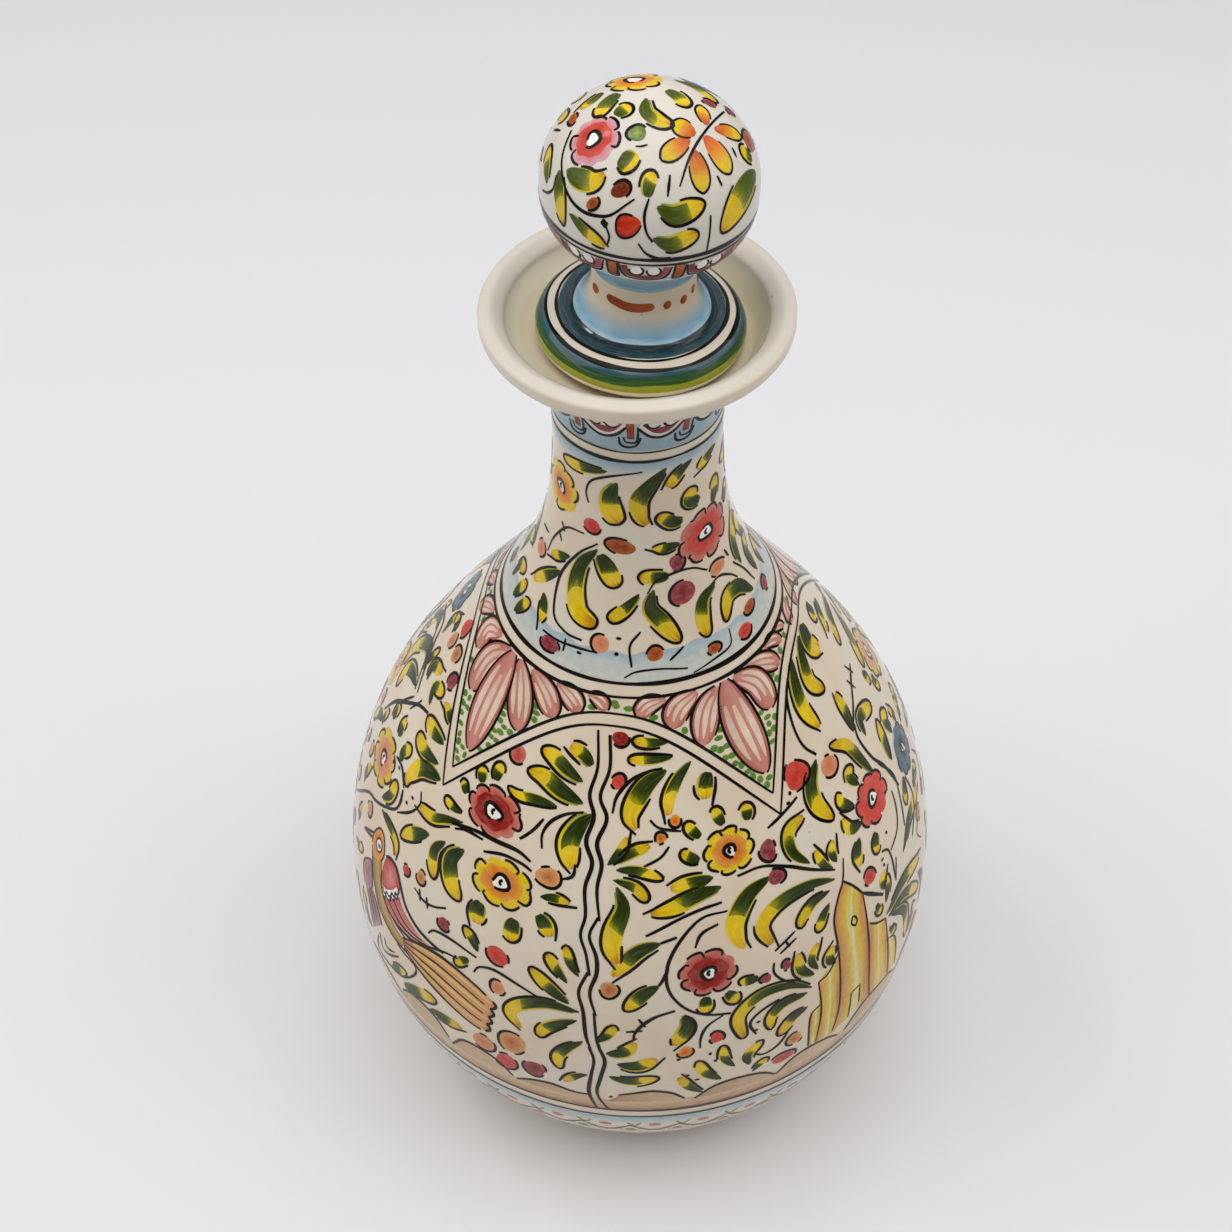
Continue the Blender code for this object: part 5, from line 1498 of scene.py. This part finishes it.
# Stage: pale table top that runs to the horizon, soft boxes, camera
studio = {
    "table": "#ECECEE", "roughness": 0.6, "sheen": 0.2, "reach": 6.0, "fadeFrom": 0.72, "fadeTo": 1.5,
    "world": 0.19, "room": 0.78,  # brightness of the room as a light, and as the camera sees it
    "lamps": [  # place, aimed at, width, height, watts
        ((0.08, -0.15, 1.4), (0, 0, 0.12), 1.3, 1.3, 10.7),
        ((0.0, 1.1, 1.0), (0, 0, 0.12), 1.4, 0.8, 1.3),
        ((-1.0, -0.05, 1.0), (0, 0, 0.12), 1.2, 1.1, 5.9),
        ((1.0, -0.05, 1.0), (0, 0, 0.12), 1.2, 1.1, 4.7),
        ((-0.65, 0.36, 1.3), (0, 0, 0.24), 0.16, 0.16, 0.9),
    ],
    "camera": (-0.0053, -0.33439, 0.51017), "pitch": 42.73, "roll": -0.941, "lens": 61.36, "sensor": 36.0,
    "nearest": 0.01,
}


def stage():
    table = bpy.data.meshes.new("table_top")
    r = studio["reach"]
    table.from_pydata([(-r, -r, 0), (r, -r, 0), (r, r, 0), (-r, r, 0)], [], [(0, 1, 2, 3)])
    top = bpy.data.objects.new("table_top", table)
    bpy.context.scene.collection.objects.link(top)
    material = bpy.data.materials.new("matt paper")
    material.use_nodes = True
    shader = material.node_tree.nodes["Principled BSDF"]
    shader.inputs["Base Color"].default_value = linear(studio["table"])
    shader.inputs["Roughness"].default_value = studio["roughness"]
    shader.inputs["Specular IOR Level"].default_value = studio["sheen"]
    table.materials.append(material)
    # Past the lamps' reach the camera sees the table fade into the pale room
    tree = material.node_tree
    place = add(tree, "ShaderNodeTexCoord").outputs["Object"]
    far = add(tree, "ShaderNodeVectorMath", {0: place}, operation="LENGTH").outputs["Value"]
    fade = between(tree, far, studio["fadeFrom"], studio["fadeTo"])
    seen = maths(tree, "MULTIPLY", fade, add(tree, "ShaderNodeLightPath").outputs["Is Camera Ray"])
    room = add(tree, "ShaderNodeEmission", {"Strength": studio["room"]})
    both = add(tree, "ShaderNodeMixShader", {0: seen, 1: shader.outputs["BSDF"], 2: room.outputs["Emission"]})
    tree.links.new(both.outputs["Shader"], tree.nodes["Material Output"].inputs["Surface"])
    world = bpy.data.worlds.new("soft room")
    bpy.context.scene.world = world
    world.use_nodes = True
    tree = world.node_tree
    sky = tree.nodes["Background"]
    sky.inputs["Color"].default_value = (1, 1, 1, 1)
    seen = add(tree, "ShaderNodeLightPath").outputs["Is Camera Ray"]
    strength = between(tree, seen, 0, 1, studio["world"], studio["room"])
    tree.links.new(strength, sky.inputs["Strength"])
    for place, aim, width, height, watts in studio["lamps"]:
        light = bpy.data.lights.new("soft box", "AREA")
        light.shape, light.size, light.size_y, light.energy = "RECTANGLE", width, height, watts
        lamp = bpy.data.objects.new("soft box", light)
        lamp.location = place
        lamp.rotation_euler = (Vector(aim) - Vector(place)).to_track_quat("-Z", "Y").to_euler()
        bpy.context.scene.collection.objects.link(lamp)
    lens = bpy.data.cameras.new("camera")
    lens.lens, lens.sensor_width, lens.clip_start = studio["lens"], studio["sensor"], studio["nearest"]
    camera = bpy.data.objects.new("camera", lens)
    pitch = Matrix.Rotation(math.radians(studio["pitch"]), 4, "X")
    roll = Matrix.Rotation(math.radians(studio["roll"]), 4, "Z")
    camera.matrix_world = Matrix.Translation(studio["camera"]) @ pitch @ roll
    bpy.context.scene.collection.objects.link(camera)
    bpy.context.scene.camera = camera
    bpy.context.scene.view_settings.view_transform = "Standard"


stage()
print("stage set")
